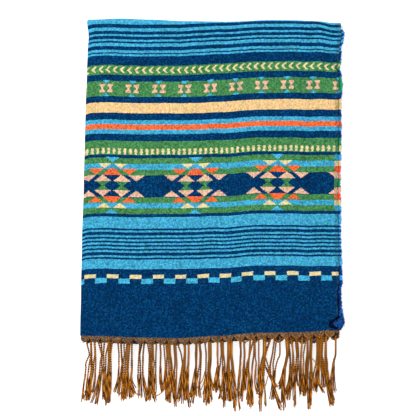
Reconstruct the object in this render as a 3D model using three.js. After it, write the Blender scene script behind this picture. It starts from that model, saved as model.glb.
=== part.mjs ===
// A woven scarf with fringed ends, folded into eight leaves and lying flat. Millimetres, +Z up.
// It rests on z = 0, with its fringe towards -Y and its lengthwise fold towards -X.
import * as THREE from 'three';

// Driving dimensions
const LEAF = 1.9; // thickness of one leaf of cloth
const GAP = 0.3; // clearance between neighbouring pieces
const LEAVES = 8; // leaves in the folded stack
const FOLDED_WIDTH = 350; // from the lengthwise fold to the furthest selvedge
const HEADER_LINE = -166; // where the cloth ends and its header starts
const TOP_EDGE = 264.6; // the outside of the crosswise fold
const HEADER_DEPTH = 10.5;
const GRID = 24; // spacing of the rows and columns of facets
const CROWDED = 0.32 * GRID; // a row or column nearer than this to an edge is left out
const MIDFOLD_SETBACK = 3; // how far the mid-length turn lies behind the header line

// Heights of the stack, worked out from the leaf
const PITCH = LEAF + GAP;
const STACK = LEAVES * PITCH - GAP;
const leafTop = (leaf) => STACK - (leaf - 1) * PITCH;
const leafBottom = (leaf) => leafTop(leaf) - LEAF;

// Turns of the cloth: a lengthwise one takes in two leaves, the mid-length one four, the top all eight
const SIDE_TURN = (2 * LEAF + GAP) / 2;
const MID_TURN = (4 * LEAF + 3 * GAP) / 2;
const TOP_TURN = STACK / 2;
const LEFT = -FOLDED_WIDTH / 2;
const LEAF_LEFT = LEFT + SIDE_TURN + GAP; // where the flat of a leaf starts, beside its turn
const TOP_TURN_Y = TOP_EDGE - TOP_TURN;
const MID_TURN_Y = HEADER_LINE + MIDFOLD_SETBACK + MID_TURN;

// Right-hand edge of each leaf, from the top of the stack down
const SELVEDGE = { 1: 171, 2: 175.2, 3: 172.4, 4: 174.2, 5: 171.6, 6: 173.6, 7: 170.8, 8: 172.2 };
const SELVEDGE_STRIP = 6.4; // width of the second leaf's edge that is a piece of its own
const EDGE_INSET = 0.7; // how far a hidden leaf's rounded edge draws in, above and below
const LEDGE_SLOPE = 0.05;
const SEAM_ALLOWANCE = 0.5; // beside the second leaf's edge, which winds a little
const TURN_STEPS = 12; // facets round a crosswise turn
const TURN_INSET = 1; // how far a crosswise turn stops short of the lengthwise ones

// How far the outline departs from a straight rectangle
const LEFT_OUTLINE = [
  { y: -160, shift: -4.1 },
  { y: -107, shift: -2.8 },
  { y: -46, shift: -1.4 },
  { y: 43, shift: 1.3 },
  { y: 92, shift: 2.7 },
  { y: 142, shift: 4.0 },
  { y: 190, shift: 5.4 },
  { y: 218, shift: 6.7 },
  { y: 240, shift: 8.0 },
  { y: 263, shift: 6.6 },
];
const RIGHT_OUTLINE = [
  { y: -166, shift: -2.5 },
  { y: -144, shift: 2.2 },
  { y: -115, shift: -1.2 },
  { y: -82, shift: 0.5 },
  { y: -22, shift: -1.5 },
  { y: 35, shift: -2.2 },
  { y: 80, shift: -1.5 },
  { y: 120, shift: -0.2 },
  { y: 154, shift: -0.8 },
  { y: 174, shift: 1.2 },
  { y: 200, shift: -2.0 },
  { y: 226, shift: 0.5 },
  { y: 247, shift: 2.2 },
  { y: 258, shift: 0.2 },
];
const TOP_OUTLINE = [
  { x: -170, shift: -2.0 },
  { x: -130, shift: 0 },
  { x: -90, shift: 0 },
  { x: -40, shift: -2.6 },
  { x: 20, shift: -4.0 },
  { x: 80, shift: -1.2 },
  { x: 125, shift: -1.6 },
  { x: 168, shift: -6.4 },
];
const BOTTOM_OUTLINE = [
  { x: -152, shift: 0.4 },
  { x: -98, shift: -2.3 },
  { x: -43, shift: -3.6 },
  { x: 11, shift: 0.4 },
  { x: 65, shift: 4.5 },
  { x: 119, shift: 5.8 },
  { x: 157, shift: 8.0 },
];

// Soft ridges and troughs of the upper leaf, each a smooth swell about a line
const SWELLS = [
  { x: -118, y: 120, turn: 96, length: 190, width: 34, height: 0.8 },
  { x: -60, y: 30, turn: 84, length: 170, width: 30, height: -0.7 },
  { x: 18, y: 150, turn: 100, length: 150, width: 36, height: -0.7 },
  { x: 70, y: -10, turn: 92, length: 200, width: 38, height: 0.9 },
  { x: -20, y: -120, turn: 8, length: 150, width: 30, height: 0.6 },
  { x: 128, y: 95, turn: 88, length: 150, width: 28, height: -0.6 },
  { x: -150, y: -60, turn: 90, length: 130, width: 24, height: 0.6 },
  { x: 120, y: -130, turn: 150, length: 80, width: 26, height: 0.7 },
  { x: 0, y: 238, turn: 0, length: 240, width: 16, height: 0.5 },
];

// The second leaf's corner, which curls up into a bite out of the front leaf's edge
const BITE_ROWS = [-1, -0.9, -0.7, -0.4, 0, 0.4, 0.7, 0.9, 1]; // shares of the bite's half-length
const CURL = { x: 166, y: -150, acrossHalf: 11, alongHalf: 14, height: 3.6, bite: 4 };

const CURL_SHARES = [-1, -0.6, -0.2, 0.2, 0.6, 1];
const CURL_RIM = 0.12; // keeps the lump's rim from thinning to nothing

// Ends of the fringe's bunches: how far down each stands, from left to right
const FRONT_TIPS = [
  { x: -178, y: -253 },
  { x: -157, y: -257 },
  { x: -125, y: -254 },
  { x: -103, y: -249 },
  { x: -81, y: -255 },
  { x: -49, y: -261 },
  { x: -27, y: -256 },
  { x: 16, y: -262 },
  { x: 38, y: -264.6 },
  { x: 60, y: -259 },
  { x: 92, y: -263 },
  { x: 114, y: -262 },
  { x: 136, y: -251 },
  { x: 168, y: -242 },
];
const REAR_TIPS = [
  { x: -172, y: -244 },
  { x: -120, y: -249 },
  { x: -60, y: -244 },
  { x: 10, y: -252 },
  { x: 80, y: -250 },
  { x: 140, y: -246 },
  { x: 170, y: -238 },
];
const FRINGE_THICKNESS = 3.9; // two layers of twisted cord
const FRINGE_FALL = 42; // distance over which the fringe comes down from its header
const FALL_ROWS = 7;
const REAR_DROP = 1.5; // how much further down the rear header ends
const FALL_START = HEADER_LINE - 2 * GAP - HEADER_DEPTH - REAR_DROP;
const TIP_TAPER = 0.7; // thickness of the last row above its middle, as a share

// The two fringed ends: the leaves that each takes in, its width, and what height its fringe rests at
const FRONT_END = {
  name: 'front',
  first: 1,
  last: 2,
  left: LEFT + 1,
  right: 168,
  fringeRight: 166,
  depth: HEADER_DEPTH,
  tips: FRONT_TIPS,
  rest: FRINGE_THICKNESS + GAP,
};
const REAR_END = {
  name: 'rear',
  first: 3,
  last: 4,
  left: LEFT + 3,
  right: 172,
  fringeRight: 170,
  depth: HEADER_DEPTH + REAR_DROP,
  tips: REAR_TIPS,
  rest: 0,
};

// Plan outline

function valueAt(table, key, at, column = 'shift') {
  if (at <= table[0][key]) return table[0][column];
  for (let i = 1; i < table.length; i += 1) {
    const before = table[i - 1];
    const after = table[i];
    if (at <= after[key]) {
      const share = (at - before[key]) / (after[key] - before[key]);
      const eased = share * share * (3 - 2 * share);
      return before[column] + eased * (after[column] - before[column]);
    }
  }
  return table[table.length - 1][column];
}

const clamp01 = (value) => Math.min(1, Math.max(0, value));
const smooth = (value) => clamp01(value) ** 2 * (3 - 2 * clamp01(value));

function swellAt(x, y) {
  let total = 0;
  for (const swell of SWELLS) {
    const angle = THREE.MathUtils.degToRad(swell.turn);
    const along = (x - swell.x) * Math.cos(angle) + (y - swell.y) * Math.sin(angle);
    const across = (y - swell.y) * Math.cos(angle) - (x - swell.x) * Math.sin(angle);
    const lengthwise = (along / (0.5 * swell.length)) ** 2;
    const crosswise = (across / swell.width) ** 2;
    total += swell.height * Math.exp(-lengthwise - crosswise);
  }
  return total;
}

// Moves a point of the straight, flat stack to its place in the real one.
function place(x, y, z) {
  const across = clamp01((x - LEFT) / FOLDED_WIDTH);
  const along = clamp01((y - HEADER_LINE) / (TOP_EDGE - HEADER_LINE));
  const left = valueAt(LEFT_OUTLINE, 'y', y);
  const right = valueAt(RIGHT_OUTLINE, 'y', y);
  const bottom = valueAt(BOTTOM_OUTLINE, 'x', x);
  const top = valueAt(TOP_OUTLINE, 'x', x);
  const rise = clamp01((z - leafTop(LEAVES)) / (STACK - leafTop(LEAVES)));
  return new THREE.Vector3(
    x + left + across * (right - left),
    y + bottom + along * (top - bottom),
    z + swellAt(x, y) * rise,
  );
}

// Solids

// The skin of a block of cells. shape(a, b, c) gives the nominal point for one value of each list.
function block(as, bs, cs, shape) {
  const positions = [];
  const index = [];
  const known = new Map();
  const corner = (i, j, k) => {
    const key = `${i},${j},${k}`;
    if (!known.has(key)) {
      const [x, y, z] = shape(as[i], bs[j], cs[k]);
      known.set(key, positions.length / 3);
      positions.push(...place(x, y, z).toArray());
    }
    return known.get(key);
  };
  const quad = (p, q, r, s) => index.push(p, q, r, p, r, s);
  const [na, nb, nc] = [as.length - 1, bs.length - 1, cs.length - 1];
  for (let i = 0; i < na; i += 1) {
    for (let j = 0; j < nb; j += 1) {
      quad(corner(i, j, 0), corner(i, j + 1, 0), corner(i + 1, j + 1, 0), corner(i + 1, j, 0));
      quad(corner(i, j, nc), corner(i + 1, j, nc), corner(i + 1, j + 1, nc), corner(i, j + 1, nc));
    }
  }
  for (let i = 0; i < na; i += 1) {
    for (let k = 0; k < nc; k += 1) {
      quad(corner(i, 0, k), corner(i + 1, 0, k), corner(i + 1, 0, k + 1), corner(i, 0, k + 1));
      quad(corner(i, nb, k), corner(i, nb, k + 1), corner(i + 1, nb, k + 1), corner(i + 1, nb, k));
    }
  }
  for (let j = 0; j < nb; j += 1) {
    for (let k = 0; k < nc; k += 1) {
      quad(corner(0, j, k), corner(0, j, k + 1), corner(0, j + 1, k + 1), corner(0, j + 1, k));
      quad(corner(na, j, k), corner(na, j + 1, k), corner(na, j + 1, k + 1), corner(na, j, k + 1));
    }
  }
  return outward(positions, index);
}

// Turns the faces round if they enclose a negative volume.
function outward(positions, index) {
  let volume = 0;
  const point = (n) => new THREE.Vector3().fromArray(positions, 3 * n);
  for (let t = 0; t < index.length; t += 3) {
    const [p, q, r] = [point(index[t]), point(index[t + 1]), point(index[t + 2])];
    volume += p.dot(q.cross(r)) / 6;
  }
  if (volume < 0) {
    for (let t = 0; t < index.length; t += 3) {
      [index[t + 1], index[t + 2]] = [index[t + 2], index[t + 1]];
    }
  }
  const geometry = new THREE.BufferGeometry();
  geometry.setAttribute('position', new THREE.Float32BufferAttribute(positions, 3));
  geometry.setIndex(index);
  geometry.computeVertexNormals();
  return geometry;
}

// Values from start to end, about one grid spacing apart and on the shared grid, with extra ones.
function ticks(start, end, extra = []) {
  const values = new Set([start, end, ...extra.filter((v) => v > start && v < end)]);
  for (let n = Math.ceil(start / GRID); n * GRID < end; n += 1) {
    const value = n * GRID;
    const crowded = [...values].some((v) => Math.abs(v - value) < CROWDED);
    if (!crowded && value > start) values.add(value);
  }
  return [...values].sort((p, q) => p - q);
}

const EDGE_ROUND = [
  { inset: 1.0, half: 1 },
  { inset: 0.35, half: 0.78 },
  { inset: 0, half: 0.35 },
];

// Half-thickness of a leaf near its selvedge, as a share of the full one.
function roundedHalf(inset) {
  return inset >= EDGE_ROUND[0].inset ? 1 : valueAt([...EDGE_ROUND].reverse(), 'inset', inset, 'half');
}

const SKIN = [1, -1]; // upper and lower side of a leaf

// A leaf between a straight left side and its selvedge, whose place at y is right(y).
function leafSolid(leaf, right, rows) {
  const middle = (leafTop(leaf) + leafBottom(leaf)) / 2;
  const left = leaf === 2 ? SELVEDGE[2] - SELVEDGE_STRIP : LEAF_LEFT;
  const columns = ticks(left, SELVEDGE[leaf]).slice(0, -1).map((x) => () => x);
  EDGE_ROUND.forEach(({ inset }) => columns.push((y) => right(y) - inset));
  return block(columns, rows, SKIN, (column, y, side) => {
    const half = (LEAF / 2) * roundedHalf(right(y) - column(y));
    return [column(y), y, middle + side * half];
  });
}

// A half-round turn that runs along the left edge from start and takes in the leaves first and last.
function sideTurn(first, last, start) {
  const centre = (leafTop(first) + leafBottom(last)) / 2;
  const depths = [0, 0.35, 0.65, 0.87, 0.97].map((share) => share * SIDE_TURN);
  return block(depths, ticks(start, TOP_TURN_Y - GAP), SKIN, (depth, y, side) => {
    const half = Math.sqrt(SIDE_TURN ** 2 - depth ** 2);
    return [LEFT + SIDE_TURN - depth, y, centre + side * half];
  });
}

// A wall one leaf thick, bent through half a circle about a line across the scarf, down to z = 0.
function crossTurn(radius, centreY, towards, right) {
  const angles = Array.from({ length: TURN_STEPS + 1 }, (_, n) => Math.PI * (n / TURN_STEPS - 0.5));
  return block(ticks(LEFT + TURN_INSET, right), angles, [radius, radius - LEAF], (x, angle, r) => [
    x,
    centreY + towards * r * Math.cos(angle),
    radius + r * Math.sin(angle),
  ]);
}

// The front leaf stops short of the curled corner, which lies in a bite out of its edge.
function frontSelvedge(y) {
  const reach = (y - CURL.y) / (CURL.alongHalf + CURL.bite);
  const deepest = SELVEDGE[1] - CURL.x + CURL.acrossHalf + SEAM_ALLOWANCE;
  return SELVEDGE[1] - deepest * Math.sqrt(Math.max(0, 1 - reach ** 2));
}

function frontLeaf() {
  const bite = CURL.alongHalf + CURL.bite;
  const extra = BITE_ROWS.map((share) => CURL.y + share * bite);
  const rows = ticks(HEADER_LINE, TOP_TURN_Y - GAP, extra);
  return leafSolid(1, frontSelvedge, rows);
}

function backLeaf() {
  const rows = ticks(MID_TURN_Y + GAP, TOP_TURN_Y - GAP);
  return leafSolid(LEAVES, () => SELVEDGE[LEAVES], rows);
}

function secondSelvedge() {
  const rows = ticks(HEADER_LINE, TOP_TURN_Y);
  return leafSolid(2, () => SELVEDGE[2], rows);
}

// The six hidden leaves as one solid: round at the top, and layered at its other three edges.
function hiddenLeaves() {
  const levels = [];
  for (let leaf = 2; leaf < LEAVES; leaf += 1) {
    // A ledge lies below the second leaf, for that leaf's own edge, and below the fourth, for the turn.
    const bottomZ = leaf === 2 ? leafTop(3) + LEDGE_SLOPE : leafBottom(leaf);
    const topZ = leaf === 5 ? leafBottom(4) - LEDGE_SLOPE : leafTop(leaf);
    levels.push({ leaf, z: topZ, inset: EDGE_INSET });
    levels.push({ leaf, z: (leafTop(leaf) + leafBottom(leaf)) / 2, inset: 0 });
    levels.push({ leaf, z: bottomZ, inset: EDGE_INSET });
  }
  const radius = TOP_TURN - PITCH;
  const left = ({ leaf, z }) => {
    if (leaf === 2 || leaf === LEAVES - 1) return LEAF_LEFT;
    const first = leaf % 2 === 1 ? leaf : leaf - 1;
    const centre = (leafTop(first) + leafBottom(first + 1)) / 2;
    return LEFT + SIDE_TURN - Math.sqrt(Math.max(0, SIDE_TURN ** 2 - (z - centre) ** 2));
  };
  const right = ({ leaf, inset }) => {
    if (leaf === 2) return SELVEDGE[2] - SELVEDGE_STRIP - SEAM_ALLOWANCE;
    return SELVEDGE[leaf] - inset;
  };
  const bottom = ({ leaf, z, inset }) => {
    if (leaf <= 4) return HEADER_LINE + GAP + inset;
    if (leaf === 5) return MID_TURN_Y + GAP;
    const centre = (leafTop(6) + leafBottom(7)) / 2;
    return MID_TURN_Y - Math.sqrt(Math.max(0, SIDE_TURN ** 2 - (z - centre) ** 2));
  };
  const top = ({ z }) => TOP_TURN_Y + Math.sqrt(Math.max(0, radius ** 2 - (z - TOP_TURN) ** 2));
  const columns = [left, ...ticks(LEAF_LEFT, SELVEDGE[2] - SELVEDGE_STRIP).slice(1, -1), right];
  const rows = [bottom, ...ticks(MID_TURN_Y, TOP_TURN_Y).slice(1, -1), top];
  const valueOn = (line, level) => (typeof line === 'function' ? line(level) : line);
  return block(columns, rows, levels, (column, row, level) => [
    valueOn(column, level),
    valueOn(row, level),
    level.z,
  ]);
}

// A header, with its lower edge eased off. down is a share of its depth, half of its half-thickness.
const HEADER_ROWS = [
  { down: 0, half: 1 },
  { down: 0.75, half: 0.95 },
  { down: 1, half: 0.8 },
];

function header({ first, last, left, right, depth }) {
  const middle = (leafTop(first) + leafBottom(last)) / 2;
  return block(ticks(left, right), HEADER_ROWS, SKIN, (x, row, side) => [
    x,
    HEADER_LINE - GAP - row.down * depth,
    middle + side * row.half * (leafTop(first) - middle),
  ]);
}

// A fringe: a slab of the cords' reach that comes down from its header and lies along the surface.
function fringe({ first, last, left, fringeRight, depth, tips, rest }) {
  const start = HEADER_LINE - 2 * GAP - depth;
  const high = (leafTop(first) + leafBottom(last)) / 2;
  const low = rest + FRINGE_THICKNESS / 2;
  const fall = Array.from({ length: FALL_ROWS + 1 }, (_, n) => FALL_START - (n * FRINGE_FALL) / FALL_ROWS);
  const rows = [start, ...fall.filter((y) => y < start - GAP), null];
  return block(ticks(left, fringeRight), rows, SKIN, (x, row, side) => {
    const end = valueAt(tips, 'x', x, 'y') - valueAt(BOTTOM_OUTLINE, 'x', x);
    const y = row ?? end;
    const middle = high + smooth((FALL_START - y) / FRINGE_FALL) * (low - high);
    const upper = middle + (row === null ? TIP_TAPER : 1) * (FRINGE_THICKNESS / 2);
    return [x, y, side > 0 ? upper : middle - FRINGE_THICKNESS / 2];
  });
}

// The curled corner: a low, rounded lump on the second leaf.
function cornerCurl() {
  const base = leafTop(2) + GAP;
  return block(CURL_SHARES, CURL_SHARES, [1, 0], (a, b, lift) => {
    const across = a * Math.sqrt(1 - b ** 2 / 2);
    const along = b * Math.sqrt(1 - a ** 2 / 2);
    const dome = Math.sqrt(Math.max(CURL_RIM, 1 - across ** 2 - along ** 2));
    return [
      CURL.x + CURL.acrossHalf * across,
      CURL.y + CURL.alongHalf * along,
      base + lift * CURL.height * dome,
    ];
  });
}

// The scarf

const cloth = { color: '#0b3a66', roughness: 0.9, metalness: 0 };
const yarn = { color: '#a5671d', roughness: 0.85, metalness: 0 };
const group = new THREE.Group();

function add(name, geometry, finish) {
  const mesh = new THREE.Mesh(geometry, new THREE.MeshStandardMaterial(finish));
  mesh.name = name;
  group.add(mesh);
}

add('front_leaf', frontLeaf(), cloth);
add('left_fold_upper', sideTurn(1, 2, HEADER_LINE), cloth);
add('left_fold_lower', sideTurn(7, 8, MID_TURN_Y + GAP), cloth);
add('top_fold', crossTurn(TOP_TURN, TOP_TURN_Y, 1, SELVEDGE[3]), cloth);
add('second_leaf_selvedge', secondSelvedge(), cloth);
add('corner_curl', cornerCurl(), cloth);
add('hidden_leaves', hiddenLeaves(), cloth);
add('mid_fold', crossTurn(MID_TURN, MID_TURN_Y, -1, SELVEDGE[8]), cloth);
add('back_leaf', backLeaf(), cloth);
for (const end of [FRONT_END, REAR_END]) {
  add(`header_${end.name}`, header(end), yarn);
  add(`fringe_${end.name}`, fringe(end), yarn);
}

export default group;
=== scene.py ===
# %% [markdown]
# # A woven scarf, folded flat
# The scarf is one long cloth. It is folded once along its length and then twice across it, so
# eight leaves lie on each other, and the fringe of each end comes out at the bottom.
# A model made with CAD gives the frame: its solids say where every leaf lies.
# We load that frame first, and hide its solids where our own pieces stand for them.

# %% Load the frame
import math

import bpy
import numpy as np
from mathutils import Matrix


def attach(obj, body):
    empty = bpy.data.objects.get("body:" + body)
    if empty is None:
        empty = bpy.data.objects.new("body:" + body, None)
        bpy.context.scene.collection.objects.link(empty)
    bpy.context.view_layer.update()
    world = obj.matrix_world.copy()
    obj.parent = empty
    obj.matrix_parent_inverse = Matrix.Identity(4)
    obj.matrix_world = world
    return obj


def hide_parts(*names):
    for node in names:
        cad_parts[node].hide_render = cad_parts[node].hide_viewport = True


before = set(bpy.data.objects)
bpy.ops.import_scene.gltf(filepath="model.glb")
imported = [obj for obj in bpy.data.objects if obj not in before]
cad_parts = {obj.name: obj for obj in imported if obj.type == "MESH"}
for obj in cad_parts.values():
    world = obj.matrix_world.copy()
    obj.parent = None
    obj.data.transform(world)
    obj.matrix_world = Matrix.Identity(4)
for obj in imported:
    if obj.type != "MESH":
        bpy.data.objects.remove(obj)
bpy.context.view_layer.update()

rng = np.random.default_rng(7)

# %% [markdown]
# ## The stack
# A folded cloth is easiest to think of as a straight stack first. Every leaf has a depth below
# the top surface, and every turn is a half circle round a line. All sizes here are millimetres,
# and they become metres only when a mesh is made.

# %% Sizes of the stack
LEAF, GAP, LEAVES = 1.9, 0.3, 8
PITCH = LEAF + GAP
STACK = LEAVES * PITCH - GAP
HEADER_LINE, TOP_EDGE = -166.0, 264.6
LEFT, FOLDED_WIDTH = -175.0, 350.0
SIDE_TURN_X = LEFT + LEAF + GAP / 2  # centre line of the lengthwise turn
TOP_TURN = STACK / 2
TOP_TURN_Y = TOP_EDGE - TOP_TURN
MID_TURN = (4 * LEAF + 3 * GAP) / 2  # the four lower leaves turn as one
MID_TURN_Y = HEADER_LINE + 3 + MID_TURN  # so the turn ends 3 mm above the header line
# how far to the right the cut edge of each leaf reaches, from the top leaf down
SELVEDGE = {1: 171, 2: 175.2, 3: 172.4, 4: 174.2, 5: 171.6, 6: 173.6, 7: 170.8, 8: 172.2}


def leaf_depth(leaf):
    """Depth of the middle of a leaf below the top of the stack."""
    return LEAF / 2 + (leaf - 1) * PITCH


print("stack", STACK, "mm high; leaf depths", [round(leaf_depth(k), 2) for k in SELVEDGE])

# %% [markdown]
# ## From a straight stack to a real one
# Nobody folds a scarf dead straight. The edges wander by a few millimetres, the rows of the
# pattern rise and dip with them, and the cloth has soft ridges and troughs. So one function
# moves any point of the straight stack to its real place, and every piece goes through it.
# Pieces that touch then stay together. The ridges fade to nothing at the flat underside.

# %% Outline and creases
# a place along the straight edge, and how far the real edge lies to the right or above it
LEFT_OUTLINE = [(-160, -4.1), (-107, -3.0), (-46, -1.8), (43, 0.8), (92, 2.1), (142, 3.3),
                (190, 5.0), (218, 6.0), (240, 7.4), (263, 5.0)]
RIGHT_OUTLINE = [(-166, 0.5), (-144, 1.6), (-125, 1.2), (-112, 0.2), (-98, 2.0), (-82, 1.3),
                 (-22, 0.0), (35, -0.5), (80, 0.0), (105, 0.3), (120, 1.0), (154, 0.3), (174, 2.0),
                 (187, 1.0), (200, -1.4), (213, 0.6), (226, 0.8), (247, 4.8), (258, 1.6)]
TOP_OUTLINE = [(-170, 0.7), (-130, 2.1), (-90, 0.8), (-40, -1.4), (20, -2.0), (80, 0.2),
               (112, -0.2), (133, -1.0), (147, -1.7), (160, -3.7), (170, -4.0)]
BOTTOM_OUTLINE = [(-152, 0.8), (-98, -1.3), (-43, -2.2), (11, 1.0), (65, 5.1), (119, 6.0),
                  (157, 8.0)]
# ridges and troughs: x, y, heading in degrees, length, width, height
SWELLS = [(-118, 120, 96, 190, 34, 0.8), (-60, 30, 84, 170, 30, -0.7),
          (18, 150, 100, 150, 36, -0.7), (70, -10, 92, 200, 38, 0.9),
          (-20, -120, 8, 150, 30, 0.6), (128, 95, 88, 150, 28, -0.6),
          (-150, -60, 90, 130, 24, 0.6), (120, -130, 150, 80, 26, 0.7),
          (0, 238, 0, 240, 16, 0.5)]
CREASES = [(-90, 205, 78, 70, 9, 0.30), (-30, 190, 95, 90, 8, -0.28), (60, 215, 84, 60, 10, 0.30),
           (140, 180, 70, 80, 9, 0.32), (-135, 60, 98, 90, 10, -0.30), (-20, 70, 60, 70, 9, 0.26),
           (100, 30, 104, 90, 8, 0.28), (40, -70, 76, 80, 10, -0.30), (-100, -60, 112, 80, 9, 0.28),
           (150, -40, 86, 80, 8, -0.30), (-140, -125, 20, 50, 9, 0.32), (-60, -135, 84, 40, 8, 0.34),
           (5, -140, 98, 36, 9, -0.3), (70, -138, 80, 44, 8, 0.34), (-168, 100, 90, 120, 5, 0.35),
           (-166, -20, 88, 90, 5, -0.3), (160, 70, 92, 60, 7, 0.3), (163, 225, 60, 40, 8, 0.5)]


def soft_step(t):
    """Rises smoothly from 0 to 1 while t goes from 0 to 1, and is flat on either side."""
    t = np.clip(t, 0, 1)
    return t**2 * (3 - 2 * t)


def eased(table, at):
    """Smoothly interpolated second column of a table of pairs."""
    keys, values = np.array(table, float).T
    at = np.clip(at, keys[0], keys[-1])
    n = np.clip(np.searchsorted(keys, at, side="right") - 1, 0, len(keys) - 2)
    share = (at - keys[n]) / (keys[n + 1] - keys[n])
    return values[n] + soft_step(share) * (values[n + 1] - values[n])


def relief(x, y):
    """Height of the ridges and troughs over a point."""
    total = np.zeros(np.broadcast(x, y).shape)
    for cx, cy, turn, length, width, height in SWELLS + CREASES:
        c, s = math.cos(math.radians(turn)), math.sin(math.radians(turn))
        along, across = (x - cx) * c + (y - cy) * s, (y - cy) * c - (x - cx) * s
        total += height * np.exp(-((along / (0.5 * length)) ** 2) - (across / width) ** 2)
    return total


def place(x, y, z):
    """Moves points of the straight stack to their places in the real one."""
    across = np.clip((x - LEFT) / FOLDED_WIDTH, 0, 1)
    along = np.clip((y - HEADER_LINE) / (TOP_EDGE - HEADER_LINE), 0, 1)
    left, right = eased(LEFT_OUTLINE, y), eased(RIGHT_OUTLINE, y)
    bottom, top = eased(BOTTOM_OUTLINE, x), eased(TOP_OUTLINE, x)
    rise = np.clip((z - LEAF) / (STACK - LEAF), 0, 1)
    return (x + left + across * (right - left), y + bottom + along * (top - bottom),
            z + relief(x, y) * rise)


across = np.linspace(LEFT, LEFT + FOLDED_WIDTH, 200)
heights = relief(*np.meshgrid(across, np.linspace(HEADER_LINE, TOP_EDGE, 200)))
print("relief from", round(heights.min(), 2), "to", round(heights.max(), 2), "mm")

# %% [markdown]
# ## A path that runs through the folds
# Think of a thread that lies along the scarf. It runs up the front, round the top turn, back
# along the underside, and round the turn at mid-length. A thread deeper in the stack does the
# same on a smaller radius. So a row of the path is kept as a base line and an angle, and the
# depth is put in later. Beside it we keep how far along the cloth we are, for the pattern.


# %% Path along the scarf
TOP_TURN_ROWS, MID_TURN_ROWS = 17, 11
BACK_UP = 25  # how far the path goes on past the turn at mid-length


def spaced(start, end, step):
    """Evenly spaced values that include both ends."""
    return np.linspace(start, end, max(2, round(abs(end - start) / step) + 1))


def path_rows(front_step, back_step, mid_turn=False, end_y=MID_TURN_Y):
    """Rows as (base y, sense of the turn, radius of the turn, angle, length beyond the front)."""
    up, down = math.pi / 2, -math.pi / 2
    rows = [(y, 1, TOP_TURN, up, 0) for y in spaced(HEADER_LINE, TOP_TURN_Y, front_step)]
    for angle in np.linspace(up, down, TOP_TURN_ROWS)[1:]:
        rows.append((TOP_TURN_Y, 1, TOP_TURN, angle, TOP_TURN * (up - angle)))
    run = TOP_TURN * math.pi
    for y in spaced(TOP_TURN_Y, end_y, back_step)[1:]:
        rows.append((y, 1, TOP_TURN, down, run + TOP_TURN_Y - y))
    if mid_turn:
        run += TOP_TURN_Y - MID_TURN_Y
        for angle in np.linspace(down, up, MID_TURN_ROWS)[1:]:
            rows.append((MID_TURN_Y, -1, MID_TURN, angle, run + MID_TURN * (angle - down)))
        run += MID_TURN * math.pi
        for y in spaced(MID_TURN_Y, MID_TURN_Y + BACK_UP, 6)[1:]:
            rows.append((y, -1, MID_TURN, up, run + y - MID_TURN_Y))
    return np.array(rows, float)


def on_path(x, depth, rows):
    """Straight-stack points at each x and depth along the path, and the pattern's own length."""
    base, sense, radius, angle, beyond = rows.T[:, :, None]
    y = base + sense * (radius - depth) * np.cos(angle)
    z = radius + (radius - depth) * np.sin(angle)
    real_y = place(x, np.minimum(base, TOP_TURN_Y), 0 * x)[1]
    turn_y = place(x, TOP_TURN_Y + 0 * x, 0 * x)[1]
    bottom = eased(BOTTOM_OUTLINE, x)
    v = np.where(beyond > 0, turn_y, real_y) - HEADER_LINE - bottom + beyond
    return y, z, v


ROWS = path_rows(3.4, 6.5, mid_turn=True)
print(len(ROWS), "rows; the path is", round(ROWS[-1][4] + TOP_TURN_Y - HEADER_LINE), "mm long")

# %% [markdown]
# ## Making a folded sheet
# Cloth is a thin sheet, so we start from a grid, exactly as `Add > Mesh > Grid` makes it. Its
# columns are spread across the cloth and its rows along the path, and each corner moves to its
# folded place. The grid also gets a UV map in metres of real cloth, because the woven pattern
# has to follow the cloth round its folds. Last, Solidify gives it the thickness of the yarn.


# %% Helpers for sheets
MM = 0.001  # a millimetre in metres


def deselect():
    """Leaves nothing selected and nothing in edit mode."""
    if bpy.context.object and bpy.context.object.mode != "OBJECT":
        bpy.ops.object.mode_set(mode="OBJECT")
    bpy.ops.object.select_all(action="DESELECT")


def smooth(piece, angle):
    """Smooth shading, with edges sharper than the angle kept."""
    deselect()
    piece.select_set(True)
    bpy.context.view_layer.objects.active = piece
    bpy.ops.object.shade_smooth_by_angle(angle=math.radians(angle))
    piece.select_set(False)


def lay_sheet(name, points, cloth_uv, thickness=LEAF):
    """A grid laid on an array of points [row, column] in mm, with its UV map in mm of cloth."""
    rows, columns = points.shape[:2]
    deselect()
    bpy.ops.mesh.primitive_grid_add(x_subdivisions=columns - 1, y_subdivisions=rows - 1, size=1)
    piece = bpy.context.object
    piece.name = piece.data.name = name
    mesh = piece.data
    flat = np.zeros(len(mesh.vertices) * 3)
    mesh.vertices.foreach_get("co", flat)
    flat = flat.reshape(-1, 3)
    column = np.rint((flat[:, 0] + 0.5) * (columns - 1)).astype(int)
    row = np.rint((flat[:, 1] + 0.5) * (rows - 1)).astype(int)
    mesh.vertices.foreach_set("co", (points[row, column] * MM).ravel())
    corner = np.zeros(len(mesh.loops), int)
    mesh.loops.foreach_get("vertex_index", corner)
    layer = mesh.uv_layers.active
    layer.name = "Cloth"
    layer.data.foreach_set("uv", (cloth_uv[row, column][corner] * MM).ravel())
    mesh.update()
    solidify = piece.modifiers.new("Solidify", "SOLIDIFY")
    solidify.thickness, solidify.offset, solidify.use_even_offset = thickness * MM, 0, False
    bpy.ops.object.modifier_apply(modifier=solidify.name)
    smooth(piece, 60)
    return piece


def sheet_area(points):
    """Area in square metres of the surface through an array of points in mm."""
    a, b = np.diff(points, axis=0)[:, :-1], np.diff(points, axis=1)[:-1]
    return float(np.linalg.norm(np.cross(a, b), axis=2).sum() * 1e-6)


print("a sheet is", LEAF, "mm thick unless it is told otherwise")

# %% [markdown]
# ## Rows that wander
# On the loom every row of the pattern is straight, but in a folded scarf the rows rise and dip
# with the cloth, and they hang down a little beside the lengthwise fold and in the upper corner.
# Bending the mesh for that would be hard work, since its rows of faces only carry the pattern.
# So the UV map does it: each point's place on the cloth is moved by a millimetre or two.

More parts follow.
